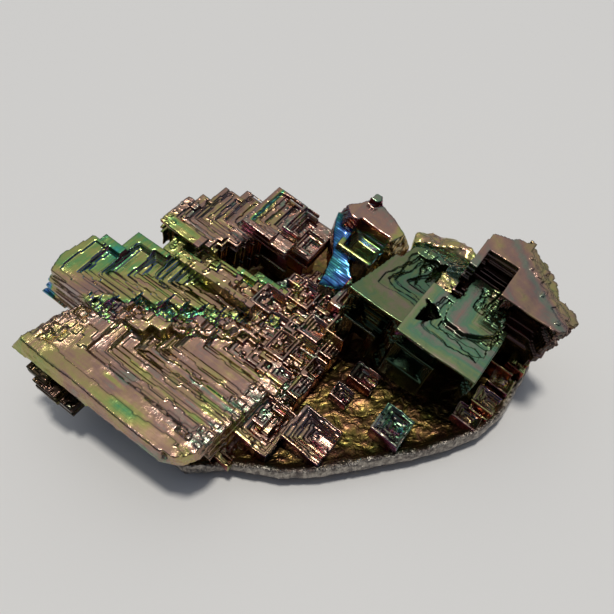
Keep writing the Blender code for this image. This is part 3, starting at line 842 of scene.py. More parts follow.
back = surface(
    plate_c(), film=([0.88, 0.60, 0.70, 0.24, 0.86, 0.70], (0.0, 0.0, 0.0), 0.04),
    # Painted shade: each side's colour is darkened by its set shade amount.
    shade=(0.5, 0.2, 0.3, 0.70, 0.08, 0.5), tint=tint_c,
    rough=lambda p, q, w: np.clip((3.0 - p) / 3.0, 0.0, 0.7),
)
ridge = surface(
    ridge_b(), film=([0.74, 0.62, 0.66, 0.70, 0.70, 0.70], (0.006, 0.0, 0.0), 0.04),
    # Painted shade: each side's colour is darkened by its set shade amount.
    shade=(0.3, 0.2, 0.3, 0.4, 0.0, 0.5), rough=lambda p, q, w: np.clip(0.6 - 0.03 * p, 0.0, 1.0),
)
make_piece("back_plate", [back, ridge], oxide)

# %% [markdown]
# ## Blocks and knob at the back
# Two stepped blocks bridge the dark hollow at the back, and a rounded knob with a low rim stands to the
# right of them.


# %% Back blocks
def block_d():
    d = Blocks(*BACK_BLOCK, (-2.6, -0.8, -16.2), (14.4, 14.2, 1.0), (0.25, 0.25, 0.18), 5)
    d.box((-2.2, 5.4), (-0.3, 12.8), (-3.4, 0.0))
    d.box((3.0, 14.0), (2.6, 13.0), (-6.0, -2.2))
    d.box((2.0, 9.6), (-0.3, 8.0), (-3.2, -1.4))
    d.box((-1.0, 9.0), (6.0, 12.6), (-16.0, -1.0))
    d.steps = [(-1.2, 0.6), (1.0, 2.0), (4.0, 6.0)]
    rows = ((-1.3, 1.0, 11.6, -0.5), (-0.2, 2.0, 11.9, -1.0), (1.2, 3.2, 12.1, -1.6), (2.6, 4.2, 12.2, -2.2))
    for p, q, far, level in rows:
        for part in (0.4, 0.7, 1.0):
            d.bend(0.15, 2.5)
            d.pocket(p + 0.5 * part, q + 0.5 * part, far, level + 0.5 * (1.0 - part))
    d.sprout(5.0, 4.4, (4.2, 8.4), -0.1, 0.55, 0.6, 5)
    d.sprout(8.6, 3.0, (4.4, 6.4), -2.0, 0.6, 0.5, 4)
    d.groove(-0.8)
    d.crumbs(d.P > -2.0, 120, size=(1, 2), tall=(1, 1))
    return d


def facet_level(p, q):
    """The height of the steep facet between the blocks and the knob, whose blue film is a painted reflection
    of sky.
    """
    return -2.4 + 0.52 * (q - 1.0) + 0.03 * p


def block_e():
    e = Blocks(*KNOB, (-4.4, -12.6, -14.2), (31.4, 9.0, 1.8), (0.32, 0.32, 0.22), 6, 8.0)
    crown = [
        (-2.6, 2.2), (-0.6, 4.6), (0.4, 7.0), (3.0, 7.6), (7.0, 6.4), (11.0, 4.2), (9.6, 0.4),
        (3.6, 0.6), (0.0, 0.2),
    ]
    lump = [
        (-3.6, 1.2), (-1.6, 5.0), (-0.4, 7.8), (3.2, 8.6), (8.0, 7.4), (13.0, 4.6), (11.6, -0.2),
        (3.6, -0.2), (-1.0, -1.0),
    ]
    e.flare(crown, lump, (-3.2, 0.0))
    e.plan(inside(lump, e.P, e.Q), (-9.0, -3.1))
    knob = [(0.6, 6.0), (2.0, 5.8), (3.0, 7.0), (2.2, 8.2), (0.9, 8.0)]
    neck = [(0.0, 5.4), (2.4, 5.2), (3.8, 7.0), (2.6, 8.6), (0.4, 8.4)]
    e.flare(knob, neck, (-2.0, 1.6))
    e.box((0.6, 9.0), (-5.0, 1.0), (-13.0, -3.8))
    for part in (0.2, 0.5, 0.8, 1.0):
        drop = (-3.8 - 1.6 * part, 1.0)
        e.box((1.4 + 1.6 * part, 9.2 - part), (-4.2 + part, 1.4 - 1.0 * part), drop, on=False)
        e.box((2.6 + part, 8.6), (-1.6 + part, 2.0 * part), (-3.6 - part, -1.6), on=False)
    facet = [
        (-3.8, 1.2), (-1.6, 1.4), (2.0, -3.0), (8.2, -8.6), (6.0, -11.4), (2.2, -12.2), (0.6, -6.0),
        (-2.2, -2.0),
    ]
    e.heap(inside(facet, e.P, e.Q), facet_level(e.P, e.Q))
    rim = [(8.0, 2.0), (20.0, 1.0), (29.0, 0.6), (31.0, 3.0), (28.0, 7.6), (12.0, 7.6)]
    crest = [(12.2, 2.4), (20.0, 2.2), (26.0, 2.8), (28.0, 4.0), (24.0, 6.4), (13.0, 6.2)]
    e.plan(inside(rim, e.P, e.Q), (-13.0, -7.6))
    e.flare(crest, rim, (-7.7, -5.6))
    e.crumbs(e.P > 9.0, 260, size=(1, 3), tall=(1, 3))
    e.full &= (e.mid[2] > -13.2)[None, None, :]
    return e


def on_sky_facet(p, q, w):
    """1 on the steep facet, whose blue film is a painted reflection of sky."""
    near = np.clip(1.6 - np.abs(w - facet_level(p, q)) * 2.0, 0.0, 1.0)
    edge = np.minimum(p + 4.4 + 0.5 * (1.4 - q) * 0.4, 8.4 - p)
    return near * (q < 1.0) * np.clip(edge, 0.0, 1.0) * (p < 2.6 - 0.66 * q) * (p < 7.0)


def tint_e(p, q, w, growth):
    """Mauve on top, green on the lower face, gold at the right flank."""
    low = np.clip((-3.3 - w) / 0.6, 0.0, 1.0) * (p < 9.4) * (q < 2.0)
    gold = np.clip((p - 8.2) / 1.6, 0.0, 1.0)
    return -0.29 * low * (1.0 - on_sky_facet(p, q, w)) - 0.17 * gold + 0.05 * spread(p, q, 3.0, 58)


def ridge_e():
    """The rounded ridge along the slab's back right rim, between the knob and the far cube."""
    low, high = (-4.4, 0.2, -12.6), (14.0, 11.0, 1.0)
    r = Blocks((28.0, 16.0, 14.0), RIM_AXES, low, high, (0.34, 0.34, 0.24), 10, 6.0)
    crest = [
        (-2.1, 7.1), (1.9, 9.1), (5.2, 9.5), (9.0, 8.7), (12.0, 6.6), (12.2, 4.4), (7.4, 6.0), (2.6, 5.4),
        (-1.4, 4.4),
    ]
    foot = [
        (-3.2, 7.6), (1.6, 9.8), (5.4, 10.0), (9.8, 9.0), (13.0, 6.6), (13.0, 1.5), (7.0, 1.2), (2.0, 0.8),
        (-2.6, 1.4),
    ]
    r.flare(crest, foot, (-8.0, 0.0))
    r.box((-1.0, 12.0), (2.4, 7.6), (-12.0, -7.0))
    humps = 1.3 * r.ripple(3.4) + 0.5 * r.ripple(1.1) - 0.9
    r.full &= r.mid[2][None, None, :] < humps[:, :, None]
    r.crumbs(r.Q > 4.0, 60, size=(2, 5), tall=(1, 2))
    return r


def tint_ridge(p, q, w, growth):
    """Gold at both ends of the ridge, pink in the middle of its face, grey on its crest."""
    pink = np.exp(-((p - 6.0) / 3.0) ** 2) * np.clip((-1.5 - w) / 1.5, 0.0, 1.0)
    ends = np.clip(np.abs(p - 5.0) / 3.0 - 1.2, 0.0, 1.0)
    return 0.08 * pink - 0.06 * ends + 0.05 * spread(p, w, 2.4, 61)


def tint_d(p, q, w, growth):
    """A narrow copper line just behind the near edge of the block, over a faint mottle."""
    line = np.clip(1.2 - np.abs(p + 0.9) / 0.5, 0.0, 1.0) * (q > 1.0)
    return 0.06 * spread(p, q, 2.0, 59) - 0.35 * line


blocks_back = surface(
    block_d(), film=([0.22, 0.46, 0.60, 0.21, 0.875, 0.20], (0.0, 0.0, 0.0), 0.05),
    # Painted shade: each side's colour is darkened by its set shade amount.
    shade=(0.40, 0.0, 0.3, 0.45, 0.08, 0.5), rough=lambda p, q, w: np.full(len(p), 0.2), tint=tint_d,
)
knob_back = surface(
    # Painted shade: each side's colour is darkened by its set shade amount.
    block_e(), film=([0.20, 0.46, 0.66, 0.22, 0.91, 0.20], (0.0, 0.0, 0.0), 0.03),
    # The facet is smoothed and its film set to 0.43, which is blue: a painted reflection of sky.
    shade=(0.3, 0.3, 0.3, 0.6, 0.0, 0.5), tint=tint_e, soft=(on_sky_facet, 0.43),
    rough=lambda p, q, w: np.clip((p - 9.0) / 6.0, 0.1, 0.8) * (1.0 - on_sky_facet(p, q, w)), wave=0.2, rounds=4,
)
ridge_back = surface(
    ridge_e(), film=([0.78, 0.80, 0.80, 0.79, 0.82, 0.3], (0.0, 0.0, 0.0), 0.02),
    # Painted shade: each side's colour is darkened by its set shade amount.
    shade=(0.0, 0.2, 0.2, 0.0, 0.0, 0.5), rough=lambda p, q, w: np.full(len(p), 0.35), tint=tint_ridge,
    wave=0.3, rounds=8,
)
make_piece("back_blocks", [blocks_back, knob_back, ridge_back], oxide)

# %% [markdown]
# ## The cubes on the right
# Three cubes stand at the right. The lit tops are nearly flat, so the film draws its bands on them like
# the rings of an agate, and their fronts are open frames that step back into the dark.


# %% Right cubes
def box_g():
    g = Blocks(*LEFT_CUBE, (-0.3, -0.3, -18.2), (12.2, 21.7, 0.6), (0.22, 0.22, 0.16), 7)
    top = [
        (0.0, 0.0), (11.9, 0.0), (11.9, 17.8), (9.0, 18.4), (6.4, 18.0), (4.5, 16.8), (3.7, 12.8),
        (2.6, 12.4), (1.9, 8.2), (1.0, 3.7),
    ]
    g.plan(inside(top, g.P, g.Q), (-18.0, 0.0))
    rows = (
        (2.0, 4.6, 15.4, -0.4), (3.0, 5.8, 15.8, -0.8), (4.0, 7.2, 16.2, -1.2), (5.0, 8.8, 16.6, -1.7),
        (6.0, 10.4, 16.8, -2.3), (7.2, 12.4, 17.0, -3.0),
    )
    for p, q, far, level in rows:
        g.bend(0.75, 2.4)
        g.bent_p -= 0.2 * g.Q
        for part in (0.4, 0.7, 1.0):
            g.pocket(p + 0.5 * part, q + 0.5 * part, far, level + 0.4 * (1.0 - part))
    g.crumbs((g.P > 6.0) & (g.Q > 12.0), 40, size=(2, 6), tall=(1, 1))
    g.steps = [(0.0, 0.0), (9.4, 12.4)]
    g.arches((0.0, 11.9), (-18.0, 0.0), (0.4, 0.9, 1.6, 6.0, 8.0, 13.0), 0.55)
    g.groove(-1.4)
    g.sprout(1.2, -0.2, (7.6, 6.4), -8.6, 0.5, 0.7, 7)
    g.arches((1.2, 8.8), (-18.0, -8.8), (0.1, 0.4, 0.8, 3.8), 0.5)
    return g


def box_f():
    f = Blocks(*FRONT_CUBE, (-0.3, -0.3, -16.2), (17.4, 21.3, 1.0), (0.22, 0.22, 0.16), 8)
    f.box((0.0, 16.5), (0.0, 13.6), (-10.0, 0.0))
    rows = ((2.4, 3.6, 12.2, -0.3), (3.8, 4.8, 12.4, -0.5), (5.2, 6.0, 12.6, -0.8), (7.0, 7.4, 12.8, -1.1))
    for p, q, far, level in rows:
        f.bend(0.6, 2.2)
        for part in (0.5, 1.0):
            f.pocket(p + 0.5 * part, q + 0.5 * part, far, level + 0.2 * (1.0 - part), 15.0)
    f.steps = [(0.0, 0.0), (6.4, 6.8)]
    f.arches((0.0, 16.5), (-10.0, 0.0), (0.3, 0.8, 1.4, 5.0, 7.0, 10.0), 0.5)
    f.groove(-1.4)
    f.sprout(0.6, 0.4, (8.6, 7.0), -4.4, 0.45, 0.35, 7, open_end=False)
    f.arches((0.6, 9.2), (-10.0, -4.4), (0.7, 1.0, 1.4, 4.4), 0.45)
    plate = [
        (5.4, 10.0), (6.0, 7.4), (9.6, 7.0), (14.4, 11.2), (15.2, 14.4), (14.0, 18.0), (11.0, 20.6),
        (5.4, 20.0),
    ]
    f.bend(0.5, 2.5)
    f.plan(inside(plate, f.bent_p, f.bent_q), (-3.0, 0.4))
    for p, q, far, level in ((8.0, 13.6, 19.0, 0.1), (9.2, 15.0, 19.6, -0.2), (10.6, 16.2, 20.0, -0.6)):
        f.bend(0.6, 1.6)
        f.pocket(p, q, far, level, 14.0)
    hole = [(1.2, 4.4), (1.0, 9.6), (5.6, 8.7), (4.0, 6.0)]
    f.plan(inside(hole, f.bent_p, f.bent_q), (-7.0, FAR), on=False)
    f.crumbs((f.P > 8.0) & (f.Q > 13.0), 90, size=(2, 6), tall=(1, 2))
    f.crumbs((f.P > 12.6) & (f.Q > 8.0), 40, size=(2, 5), tall=(1, 2))
    f.box((6.0, 15.0), (12.0, 19.0), (-16.0, -1.0))
    return f


def box_h():
    h = Blocks(*RIGHT_CUBE, (-7.8, -0.8, -20.2), (14.8, 16.2, 0.6), (0.22, 0.22, 0.16), 9)
    top = [
        (0.0, -0.4), (13.4, -0.4), (13.4, 4.0), (14.2, 4.6), (14.2, 6.0), (12.2, 7.6), (10.2, 7.8),
        (9.0, 9.6), (7.4, 11.0), (4.7, 13.4), (0.0, 15.6), (-3.5, 12.7), (-7.2, 11.4), (-7.5, 2.0),
        (-6.0, 2.0), (0.0, 2.2),
    ]
    h.bend(0.35, 1.1)
    ragged = np.clip((h.Q + 0.9 * h.P - 8.0) / 3.0, 0.0, 1.0)
    bent_p, bent_q = h.P + ragged * (h.bent_p - h.P) * 2.0, h.Q + ragged * (h.bent_q - h.Q) * 2.0
    h.plan(inside(top, bent_p, bent_q), (-12.0, 0.0))
    h.box((-5.9, 0.6), (-FAR, 7.4), (-8.0, FAR), on=False)
    h.box((-4.9, 1.6), (-FAR, 8.4), (-6.8, -2.0), on=False)
    for part in range(7):
        h.bend(0.8, 1.8)
        beyond = h.bent_q + 0.9 * h.bent_p > 13.0 + 0.55 * part
        h.plan(beyond & (h.P > 0.6), (-0.22 * (part + 1), FAR), on=False)
    h.arches((0.4, 12.4), (-12.0, 0.0), (0.2, 0.5, 0.9, 1.4, 2.2, 3.2, 3.8), 0.45)
    h.box((-2.0, 8.0), (4.4, 12.0), (-20.0, -9.0))
    h.box((4.0, 12.4), (2.4, 8.0), (-17.0, -9.0))
    h.groove(-1.0)
    h.steps = [(-9.0, 0.0), (9.0, 12.0)]
    h.crumbs((ragged > 0.8) & inside(top, bent_p, bent_q), 26, size=(3, 7), tall=(1, 1))
    return h


def agate(reach_of, size, amount, seed):
    """Bands of film that run parallel to a cube's edges: reach_of(p, q) is the distance from them."""
    def tint(p, q, w, growth):
        distance = reach_of(p, q) + 0.5 * spread(p, q, 4.0, seed) + 0.15 * spread(p, q, 1.2, seed + 1)
        return amount * stripes(distance, size, seed + 2) * (w > -2.0)
    return tint


def red_f(p, q, w):
    """A crumbly red strip under the top edge of the front cube."""
    return np.clip(1.0 - q / 0.8, 0.0, 1.0) * np.clip((8.5 - p) / 2.0, 0.0, 1.0) * (w < -0.2) * (w > -2.2)


def tint_f(p, q, w, growth):
    rings = agate(np.minimum, 1.5, 0.10, 64)
    return rings(p, q, w, growth) - 0.77 * (red_f(p, q, w) > 0.1)


# Painted shade on the cubes: the shade values darken each side, the tops included, and below() darkens their
# open frames from a set depth down.
cube_g = surface(
    box_g(), film=([0.98, 0.90, 0.94, 0.72, 1.00, 0.30], (0.0, 0.0, 0.0), 0.015),
    shade=(0.5, 0.3, 0.5, 0.85, 0.38, 0.8), tint=agate(np.minimum, 1.5, 0.09, 60), wave=0.08,
    dark=below(4.0, 0.25),
)
cube_f = surface(
    box_f(), film=([0.98, 0.80, 0.94, 0.98, 1.00, 0.20], (0.0, 0.0, 0.0), 0.015),
    shade=(0.5, 0.5, 0.5, 0.75, 0.0, 0.8), tint=tint_f, rough=red_f, wave=0.08,
    dark=below(2.0, 0.4),
)
cube_h = surface(
    box_h(), film=([0.86, 0.66, 0.90, 0.86, 0.87, 0.20], (0.0, 0.0, 0.0), 0.015),
    shade=(0.5, 0.6, 0.5, 0.8, 0.0, 0.8), tint=agate(lambda p, q: 0.8 * p + q, 2.6, 0.08, 68), wave=0.12,
    dark=below(3.0, 0.25),
)
make_piece("cube_left", [cube_g], oxide)
make_piece("cube_front", [cube_f], oxide)
make_piece("cube_right", [cube_h], oxide)

# %% [markdown]
# ## Small hoppers
# The hollow between the big crystals is full of small hoppers a few millimetres across. One function
# grows them all, and only place, size and film change.

# %% Small hoppers
VALLEY = [
    # corner, length in p, length in q, then the drop and the inset of two pockets together
    ((-0.5, 6.5, 13.0), 5.6, 7.0, 0.8, 1.1), ((-8.8, -0.4, 12.6), 6.0, 7.0, 0.8, 1.3),
    ((-7.7, 4.6, 14.0), 5.2, 6.0, 0.8, 1.0), ((-5.3, -6.0, 11.4), 5.0, 6.2, 0.8, 1.1),
    ((-1.3, -6.8, 10.4), 4.6, 5.8, 0.7, 1.0), ((1.5, -1.7, 11.4), 5.4, 5.6, 0.8, 1.2),
    ((5.7, -6.5, 9.6), 5.0, 6.0, 0.8, 1.2), ((1.9, -10.9, 9.0), 4.8, 5.2, 0.7, 1.0),
    ((-1.1, -15.1, 8.6), 4.4, 6.6, 0.7, 1.2), ((7.4, -2.9, 12.4), 4.6, 5.0, 0.8, 0.9),
    ((2.6, -18.1, 7.6), 4.6, 5.4, 0.6, 1.1), ((8.8, 3.4, 14.0), 5.2, 6.4, 0.8, 1.0),
    ((6.0, 12.5, 12.0), 7.0, 6.0, 0.8, 1.3),
]
RIM_HOPPERS = [
    # corner, length in p, length in q, height, inset of three ledges together, film on top
    ((-12.0, -22.6, 9.0), 9.0, 10.4, 6.4, 1.5, 0.84), ((-2.0, -24.8, 8.2), 8.6, 8.0, 5.6, 1.4, 0.84),
    ((-15.6, -26.0, 6.6), 5.0, 6.4, 2.6, 1.1, 0.80), ((14.4, -24.6, 9.2), 6.2, 6.4, 4.0, 1.3, 0.92),
    ((34.5, -18.0, 7.0), 5.0, 4.6, 3.6, 1.1, 0.74), ((43.0, -11.0, 8.6), 4.0, 4.4, 4.6, 0.9, 0.72),
    ((38.6, -14.4, 7.2), 4.4, 4.4, 3.6, 1.0, 0.74), ((39.6, -10.6, 9.0), 5.0, 6.4, 5.2, 1.0, 0.76),
    ((43.6, -5.0, 9.4), 3.6, 6.0, 5.4, 0.9, 0.72), ((30.5, -21.0, 6.4), 5.0, 3.6, 2.6, 0.9, 0.78),
    ((7.6, -14.6, 6.2), 4.0, 3.4, 3.0, 0.8, 0.86), ((11.6, -11.2, 7.4), 5.4, 4.2, 4.2, 0.9, 0.90),
    ((34.0, -19.4, 6.0), 4.0, 3.0, 2.4, 0.8, 0.76), ((44.6, -8.0, 8.0), 2.6, 4.0, 3.4, 0.7, 0.74),
]
VALLEY_CORNER = (-10.0, 2.0, 13.0)
SPROUTS = 80  # little hoppers scattered over the hollow
VALLEY_PLAN = [
    (-3.0, -4.0), (2.0, -9.0), (12.0, -16.5), (17.0, -17.0), (20.0, -12.0), (19.0, -4.0), (19.0, 6.0),
    (14.0, 13.0), (10.0, 19.0), (4.0, 18.0), (0.0, 12.0), (-4.0, 6.0),
]


def valley():
    """The hollow in the middle: rough ground with a crowd of little hoppers, all the same way round."""
    v = Blocks(VALLEY_CORNER, LOW_AXES, (-5.0, -18.0, -11.0), (21.0, 20.0, 3.0), (0.29, 0.29, 0.21), 30, 4.0)
    ground = inside(VALLEY_PLAN, v.P, v.Q)
    swell = v.ripple(3.0) + 0.6 * v.ripple(1.2)
    plane = 0.065 * v.Q - 1.6
    v.heap(ground, plane + 0.7 * swell)
    spots = np.argwhere(ground)
    for spot in spots[v.rng.integers(0, len(spots), SPROUTS)]:
        p, q = v.mid[0][spot[0]], v.mid[1][spot[1]]
        across = v.rng.uniform(1.8, 5.0, 2)
        level = 0.065 * q - 1.8 + v.rng.uniform(0.0, 2.2)
        pitch, drop = v.rng.uniform(0.5, 0.8), v.rng.uniform(0.3, 0.5)
        v.sprout(p, q, across, level, pitch, drop, 4, v.rng.random() < 0.9)
    turn = LOW_AXES.transposed()
    for i, (corner, long_p, long_q, drop, inset) in enumerate(VALLEY):
        p, q, w = turn @ (Vector(corner) - Vector(VALLEY_CORNER))
        v.sprout(p, q, (long_p, long_q), w, inset * 0.5, drop * 0.5, 6, i % 3 > 0)
    v.crumbs(ground, 260, size=(2, 5), tall=(1, 3))
    v.full &= (v.mid[2] > -9.0)[None, None, :]
    v.steps = [(0.0, 0.0), (9.0, 9.0)]
    return v


def small_hopper(number, corner, long_p, long_q, height, inset, top):
    low, high = (-0.4, -0.4, -height), (long_p + 0.4, long_q + 0.4, 0.6)
    s = Blocks(corner, LOW_AXES, low, high, (0.27, 0.27, 0.19), 40 + number, 3.0)
    s.box((0.0, long_p), (0.0, long_q), (-height, 0.0))
    for k in range(1, 10):
        part = k / 3.0
        end = FAR if number % 3 else long_p - part * inset * 0.6
        s.bend(0.2, 2.0)
        s.pocket(part * inset, part * inset, long_q - part * inset * 0.5, -0.8 * part, end, 1)
    s.steps = [(0.0, 0.0), (3.0, 3.0)]
    s.crumbs(s.P > 0.0, 8, size=(2, 5), tall=(1, 1))
    shade = s.rng.uniform(-0.06, 0.06)
    riser = 0.40 if top > 0.8 else 0.70
    film = ([riser + shade, 0.60, 0.66, 0.24 + shade, top + shade * 0.5, 0.3], (0.0, 0.01, 0.0), 0.05)
    # Painted shade: each side's colour is darkened by a set amount.
    painted_shades = (0.3, 0.4, 0.5, 0.6, 0.0, 0.8)
    return surface(s, film, shade=painted_shades, rough=lambda p, q, w: np.full(len(p), 0.25),
                   wave=0.3, rounds=1 if top > 0.8 else 5)


field = surface(
    valley(), film=([0.23, 0.60, 0.66, 0.20, 0.87, 0.3], (0.0, 0.0, 0.0), 0.06),
    # Painted shade: each side's colour is darkened by its set shade amount.
    shade=(0.5, 0.3, 0.5, 0.65, 0.12, 0.8), tint=lambda p, q, w, growth: 0.10 * spread(p, q, 2.6, 72),
    rough=lambda p, q, w: np.clip(soft_noise(np.stack([p, q, w], axis=1), 2.0, 33) + 0.1, 0.0, 0.6),
)
make_piece("valley", [field], oxide)
hoppers = [small_hopper(i, *row) for i, row in enumerate(RIM_HOPPERS)]
make_piece("rim_hoppers", hoppers, oxide)

# %% [markdown]
# ## Stalks
# Under each crystal a stalk stands in the slab, set in from the crystal's edges, so that it stays in the
# dark. Each widens in steps towards the crystal that it carries.

# %% Stalks
STALKS = [
    # the crystal, then the stalk's p, q and w in it
    (*FRONT_PLATE, (13.0, 22.0), (7.0, 16.0), (-18.0, -11.0)),
    (*GREEN_PLATE, (6.0, 18.0), (4.0, 16.0), (-22.0, -12.0)),
    (*GREEN_PLATE, (18.0, 30.0), (8.0, 21.6), (-20.0, -12.0)),
    (*BACK_PLATE, (2.0, 11.0), (1.0, 8.0), (-21.0, -10.0)),
    (*BACK_BLOCK, (0.0, 8.0), (4.0, 10.0), (-20.0, -12.0)),
    (*KNOB, (0.0, 8.0), (0.0, 6.0), (-22.0, -7.0)),
    (*KNOB, (11.0, 20.0), (2.0, 6.0), (-19.0, -11.0)),
    (*KNOB, (19.4, 26.0), (1.8, 5.6), (-17.0, -11.0)),
    (*LEFT_CUBE, (4.4, 11.0), (9.0, 17.0), (-25.0, -15.0)),
    (*FRONT_CUBE, (6.0, 13.0), (12.4, 18.0), (-21.0, -13.0)),
    (*RIGHT_CUBE, (-1.0, 7.0), (5.0, 12.0), (-25.0, -17.0)),
]


def stalk(number, corner, axes, p, q, w):
    """A stepped stalk that widens upwards."""
    low, high = (p[0] - 1.6, q[0] - 1.6, w[0]), (p[1] + 1.6, q[1] + 1.6, w[1])
    t = Blocks(corner, axes, low, high, (0.6, 0.6, 0.3), 80 + number, FAR)
    t.box(p, q, w)
    for out, share in ((0.5, 0.4), (0.9, 0.65), (1.3, 0.85)):
        t.box((p[0] - out, p[1] + out), (q[0] - out, q[1] + out), (w[0] + (w[1] - w[0]) * share, w[1]))
    t.groove(w[1], 2)
    film = ([0.70, 0.88, 0.62, 0.84, 0.80, 0.30], (0.0, 0.0, 0.0), 0.05)
    # Painted shade: every side of a stalk is darkened by the same set amount.
    return surface(t, film, shade=(0.4,) * 6, rough=lambda p, q, w: np.full(len(p), 0.3))


stalks = [stalk(i, *row) for i, row in enumerate(STALKS)]
make_piece("stalks", stalks, oxide)

# %% [markdown]
# ## The slab
# The crystals stand on a shallow slab, the last of the melt that froze under them. Its top is smooth and
# wavy and its rim stands up silvery. Rings round a plan outline give it, each ring moved by noise.

# %% Slab
RIM_TOP = 4.8
FLOOR_TOP = 3.6
FOOT_INSET = 9.0
RIM_WIDTH = 2.6
RING_POINTS = 520
SLAB_FILM = 0.76
SLAB_PLAN = [
    (-20.5, -28.5), (-12.0, -28.3), (-3.0, -30.6), (4.5, -30.8), (13.9, -29.6), (23.5, -28.0),
    (29.5, -26.4), (35.8, -24.0), (40.7, -20.0), (45.0, -14.5), (49.0, -8.8), (50.4, -1.0),
    (48.0, 9.0), (42.0, 18.0), (32.0, 25.5), (20.0, 31.0), (6.0, 34.0), (-10.0, 34.0),
    (-24.0, 31.0), (-36.0, 25.0), (-44.0, 15.0), (-46.0, 4.0), (-41.0, -8.0), (-31.0, -20.0),
]


def slab_metal():
    """Golden brown skin on the slab, silvery on its upright rim."""
    board = Board("slab_bismuth", Metallic=1.0)
    place = board.attribute("place", out=1)
    rim = board.attribute("growth")
    film = board.attribute("film")
    slow = board.noise(place, 0.12, detail=3.0, Distortion=0.8)
    fine = board.noise(place, 0.9, detail=4.0)
    lumps = board.noise(place, 0.45, detail=3.0, Distortion=0.5)
    film = film + (slow - 0.5) * 0.30 + (fine - 0.5) * 0.10 + (lumps - 0.5) * 0.34
    colour = oxide_colour(board, film)
    silver = board.mix(fine.above(0.35, 0.65), (0.44, 0.40, 0.35, 1.0), (0.15, 0.13, 0.12, 1.0))
    # The film colour is multiplied by a dull brown. This is partly the slab's own darker tone and partly
    # painted shade for a floor that lies mostly in the crystals' shadow.
    colour = board.mix(1.0, colour, (0.42, 0.33, 0.26, 1.0), blend="MULTIPLY")
    colour = board.mix(rim, colour, silver)
    roughness = fine * 0.2 + rim * 0.06 + 0.24
    upright = board.node("ShaderNodeVectorMath", {"operation": "MULTIPLY"}, place, (1.0, 1.0, 0.1))
    height = lumps * 0.75 + fine * 0.10 + board.noise(place, 3.0, detail=2.0) * 0.012
    height = height + board.noise(upright, 1.6, detail=3.0) * rim * 0.9
    bump = board.node("ShaderNodeBump", None, Height=height, Distance=MM, Strength=1.0)
    board.plug(colour, board.shader.inputs["Base Color"])
    board.plug(roughness, board.shader.inputs["Roughness"])
    board.plug(bump, board.shader.inputs["Normal"])
    return board.material


def slab():
    count = RING_POINTS
    plan = np.array(SLAB_PLAN + SLAB_PLAN[:1])
    length = np.concatenate([[0.0], np.cumsum(np.linalg.norm(np.diff(plan, axis=0), axis=1))])
    along = np.linspace(0.0, length[-1], count, endpoint=False)
    outline = np.stack([np.interp(along, length, plan[:, i]) for i in (0, 1)], axis=1)
    middle = outline.mean(axis=0)
    arm = outline - middle
    span = np.linalg.norm(arm, axis=1)
    rings = [(FOOT_INSET, 0.0, 0.0), (5.0, 0.6, 0.0), (2.0, 1.3, 0.3), (0.6, 1.9, 0.6), (0.1, 2.8, 1.0)]
    rings += [(0.0, 3.8, 1.0), (0.15, RIM_TOP - 0.15, 1.0), (0.7, RIM_TOP, 0.6), (1.5, RIM_TOP - 0.3, 0.1)]
    rings += [(RIM_WIDTH, FLOOR_TOP, 0.0)]
    rings += [(RIM_WIDTH + inset, FLOOR_TOP - 0.1, 0.0) for inset in np.arange(1.6, 22.4, 1.6)]
    points, rim = [], []
    for inset, height, silver in rings:
        ring = middle + arm * (1.0 - inset / span)[:, None]
        points.append(np.column_stack([ring, np.full(count, height)]))
        rim.append(np.full(count, silver))
    points = np.concatenate(points)
    free = np.repeat([0.0, 0.5] + [1.0] * (len(rings) - 2), count)
    swell = soft_noise(points, 6.0, 71) * 0.55 + soft_noise(points, 2.4, 72) * 0.35
    near_rim = np.repeat([silver > 0.2 for _, _, silver in rings], count)
    swell = swell + near_rim * (soft_noise(points, 1.8, 75) * 0.40 + soft_noise(points, 0.6, 76) * 0.15)
    flattened = points * (1.0, 1.0, 0.3)
    chips = soft_noise(flattened, 1.3, 73) * 0.34 + soft_noise(flattened, 0.6, 74) * 0.16
    points[:, 2] += np.where(points[:, 2] > 3.0, swell, 0.3 * swell) * free
    outward = np.tile(arm / span[:, None], (len(rings), 1))
    points[:, :2] -= outward * (np.abs(chips) + 0.1 * np.abs(swell))[:, None] * free[:, None]
    quads = []
    for i in range(len(rings) - 1):
        a = np.arange(count) + i * count
        b = np.roll(np.arange(count), -1) + i * count
        quads.append(np.stack([a, b, b + count, a + count], axis=1))
    foot = [points[:count].mean(axis=0), points[-count:].mean(axis=0)]
    return points, np.concatenate(quads), foot, np.concatenate(rim), count


def make_slab():
    points, quads, caps, rim, count = slab()
    total = len(points)
    faces = [tuple(quad) for quad in quads]
    last = total - count
    for i in range(count):
        j = (i + 1) % count
        faces.append((j, i, total))
        faces.append((last + i, last + j, total + 1))
    points = np.vstack([points, caps])
    mesh = bpy.data.meshes.new("slab")
    mesh.from_pydata((points - np.array(SETTLE)) * MM, [], faces)
    rim = np.append(rim, (0.0, 0.0))
    values = {"film": np.full(len(points), SLAB_FILM), "growth": rim}
    for key, value in values.items():
        mesh.attributes.new(key, "FLOAT", "POINT").data.foreach_set("value", value.astype(np.float32))
    mesh.attributes.new("place", "FLOAT_VECTOR", "POINT").data.foreach_set(
        "vector", points.astype(np.float32).ravel())
    mesh.shade_smooth()
    mesh.materials.append(slab_metal())
    piece = bpy.data.objects.new("slab", mesh)
    bpy.context.scene.collection.objects.link(piece)
    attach(piece, "root")
    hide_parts(NODE)
    print("slab has", len(faces), "faces")


make_slab()

# %% [markdown]
# ## Floor, light and camera
# A plain pale floor, a key light nearly overhead, and a dim room: bright above and behind, dark in
# front, so that the steps that face the viewer stay deep.


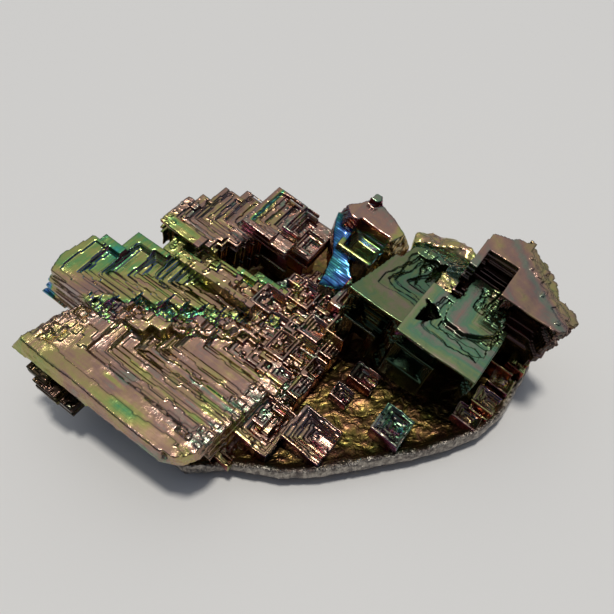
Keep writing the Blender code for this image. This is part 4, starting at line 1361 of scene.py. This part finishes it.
# %% Floor
def make_floor():
    mesh = bpy.data.meshes.new("floor")
    mesh.from_pydata([(-2, -2, 0), (2, -2, 0), (2, 2, 0), (-2, 2, 0)], [], [(0, 1, 2, 3)])
    board = Board("floor", Roughness=0.6)
    board.shader.inputs["Base Color"].default_value = (0.80, 0.785, 0.76, 1.0)
    board.shader.inputs["Specular IOR Level"].default_value = 0.2
    mesh.materials.append(board.material)
    floor = bpy.data.objects.new("floor", mesh)
    bpy.context.scene.collection.objects.link(floor)


make_floor()


# %% Light
def sun(name, direction, strength, angle, colour):
    light = bpy.data.lights.new(name, "SUN")
    light.energy, light.angle, light.color = strength, radians(angle), colour
    lamp = bpy.data.objects.new(name, light)
    lamp.rotation_euler = Vector(direction).to_track_quat("-Z", "Y").to_euler()
    bpy.context.scene.collection.objects.link(lamp)


def room():
    world = bpy.data.worlds.new("room")
    bpy.context.scene.world = world
    world.use_nodes = True
    tree = world.node_tree
    back = tree.nodes["Background"]
    coordinates = tree.nodes.new("ShaderNodeTexCoord")
    split = tree.nodes.new("ShaderNodeSeparateXYZ")
    tree.links.new(coordinates.outputs["Generated"], split.inputs[0])
    tilt = tree.nodes.new("ShaderNodeMath")
    tilt.operation = "MULTIPLY_ADD"
    tree.links.new(split.outputs["Y"], tilt.inputs[0])
    tilt.inputs[1].default_value = 0.6
    tree.links.new(split.outputs["Z"], tilt.inputs[2])
    ramp = tree.nodes.new("ShaderNodeValToRGB")
    fill_ramp(ramp.color_ramp, [
        (0.0, (0.04, 0.04, 0.05)), (0.35, (0.09, 0.11, 0.15)), (0.75, (0.24, 0.28, 0.36)),
        (1.0, (0.47, 0.48, 0.49)),
    ])
    tree.links.new(tilt.outputs[0], ramp.inputs[0])
    tree.links.new(ramp.outputs[0], back.inputs["Color"])
    back.inputs["Strength"].default_value = 1.0


sun("key", direction=(-0.08, 0.03, -1.0), strength=1.62, angle=8.0, colour=(1.0, 0.97, 0.91))
room()
bpy.context.scene.view_settings.view_transform = "Standard"


# %% Camera
def camera(place, pitch, roll, focal, image):
    """A camera that looks along +Y and down by the pitch, in degrees; focal length and image in pixels."""
    e, r = radians(pitch), radians(roll)
    forward = Vector((0.0, cos(e), -sin(e)))
    right, down = Vector((1.0, 0.0, 0.0)), Vector((0.0, -sin(e), -cos(e)))
    across = cos(r) * right - sin(r) * down
    under = sin(r) * right + cos(r) * down
    data = bpy.data.cameras.new("camera")
    data.sensor_width = 36.0
    data.lens = focal / image * data.sensor_width
    data.clip_start = 0.001
    item = bpy.data.objects.new("camera", data)
    turn = Matrix((across, -under, -forward)).transposed().to_4x4()
    item.matrix_world = Matrix.Translation(Vector(place) * MM) @ turn
    bpy.context.scene.collection.objects.link(item)
    bpy.context.scene.camera = item


camera(place=(3.82, -94.05, 116.0), pitch=47.4, roll=-3.1, focal=678.0, image=614)
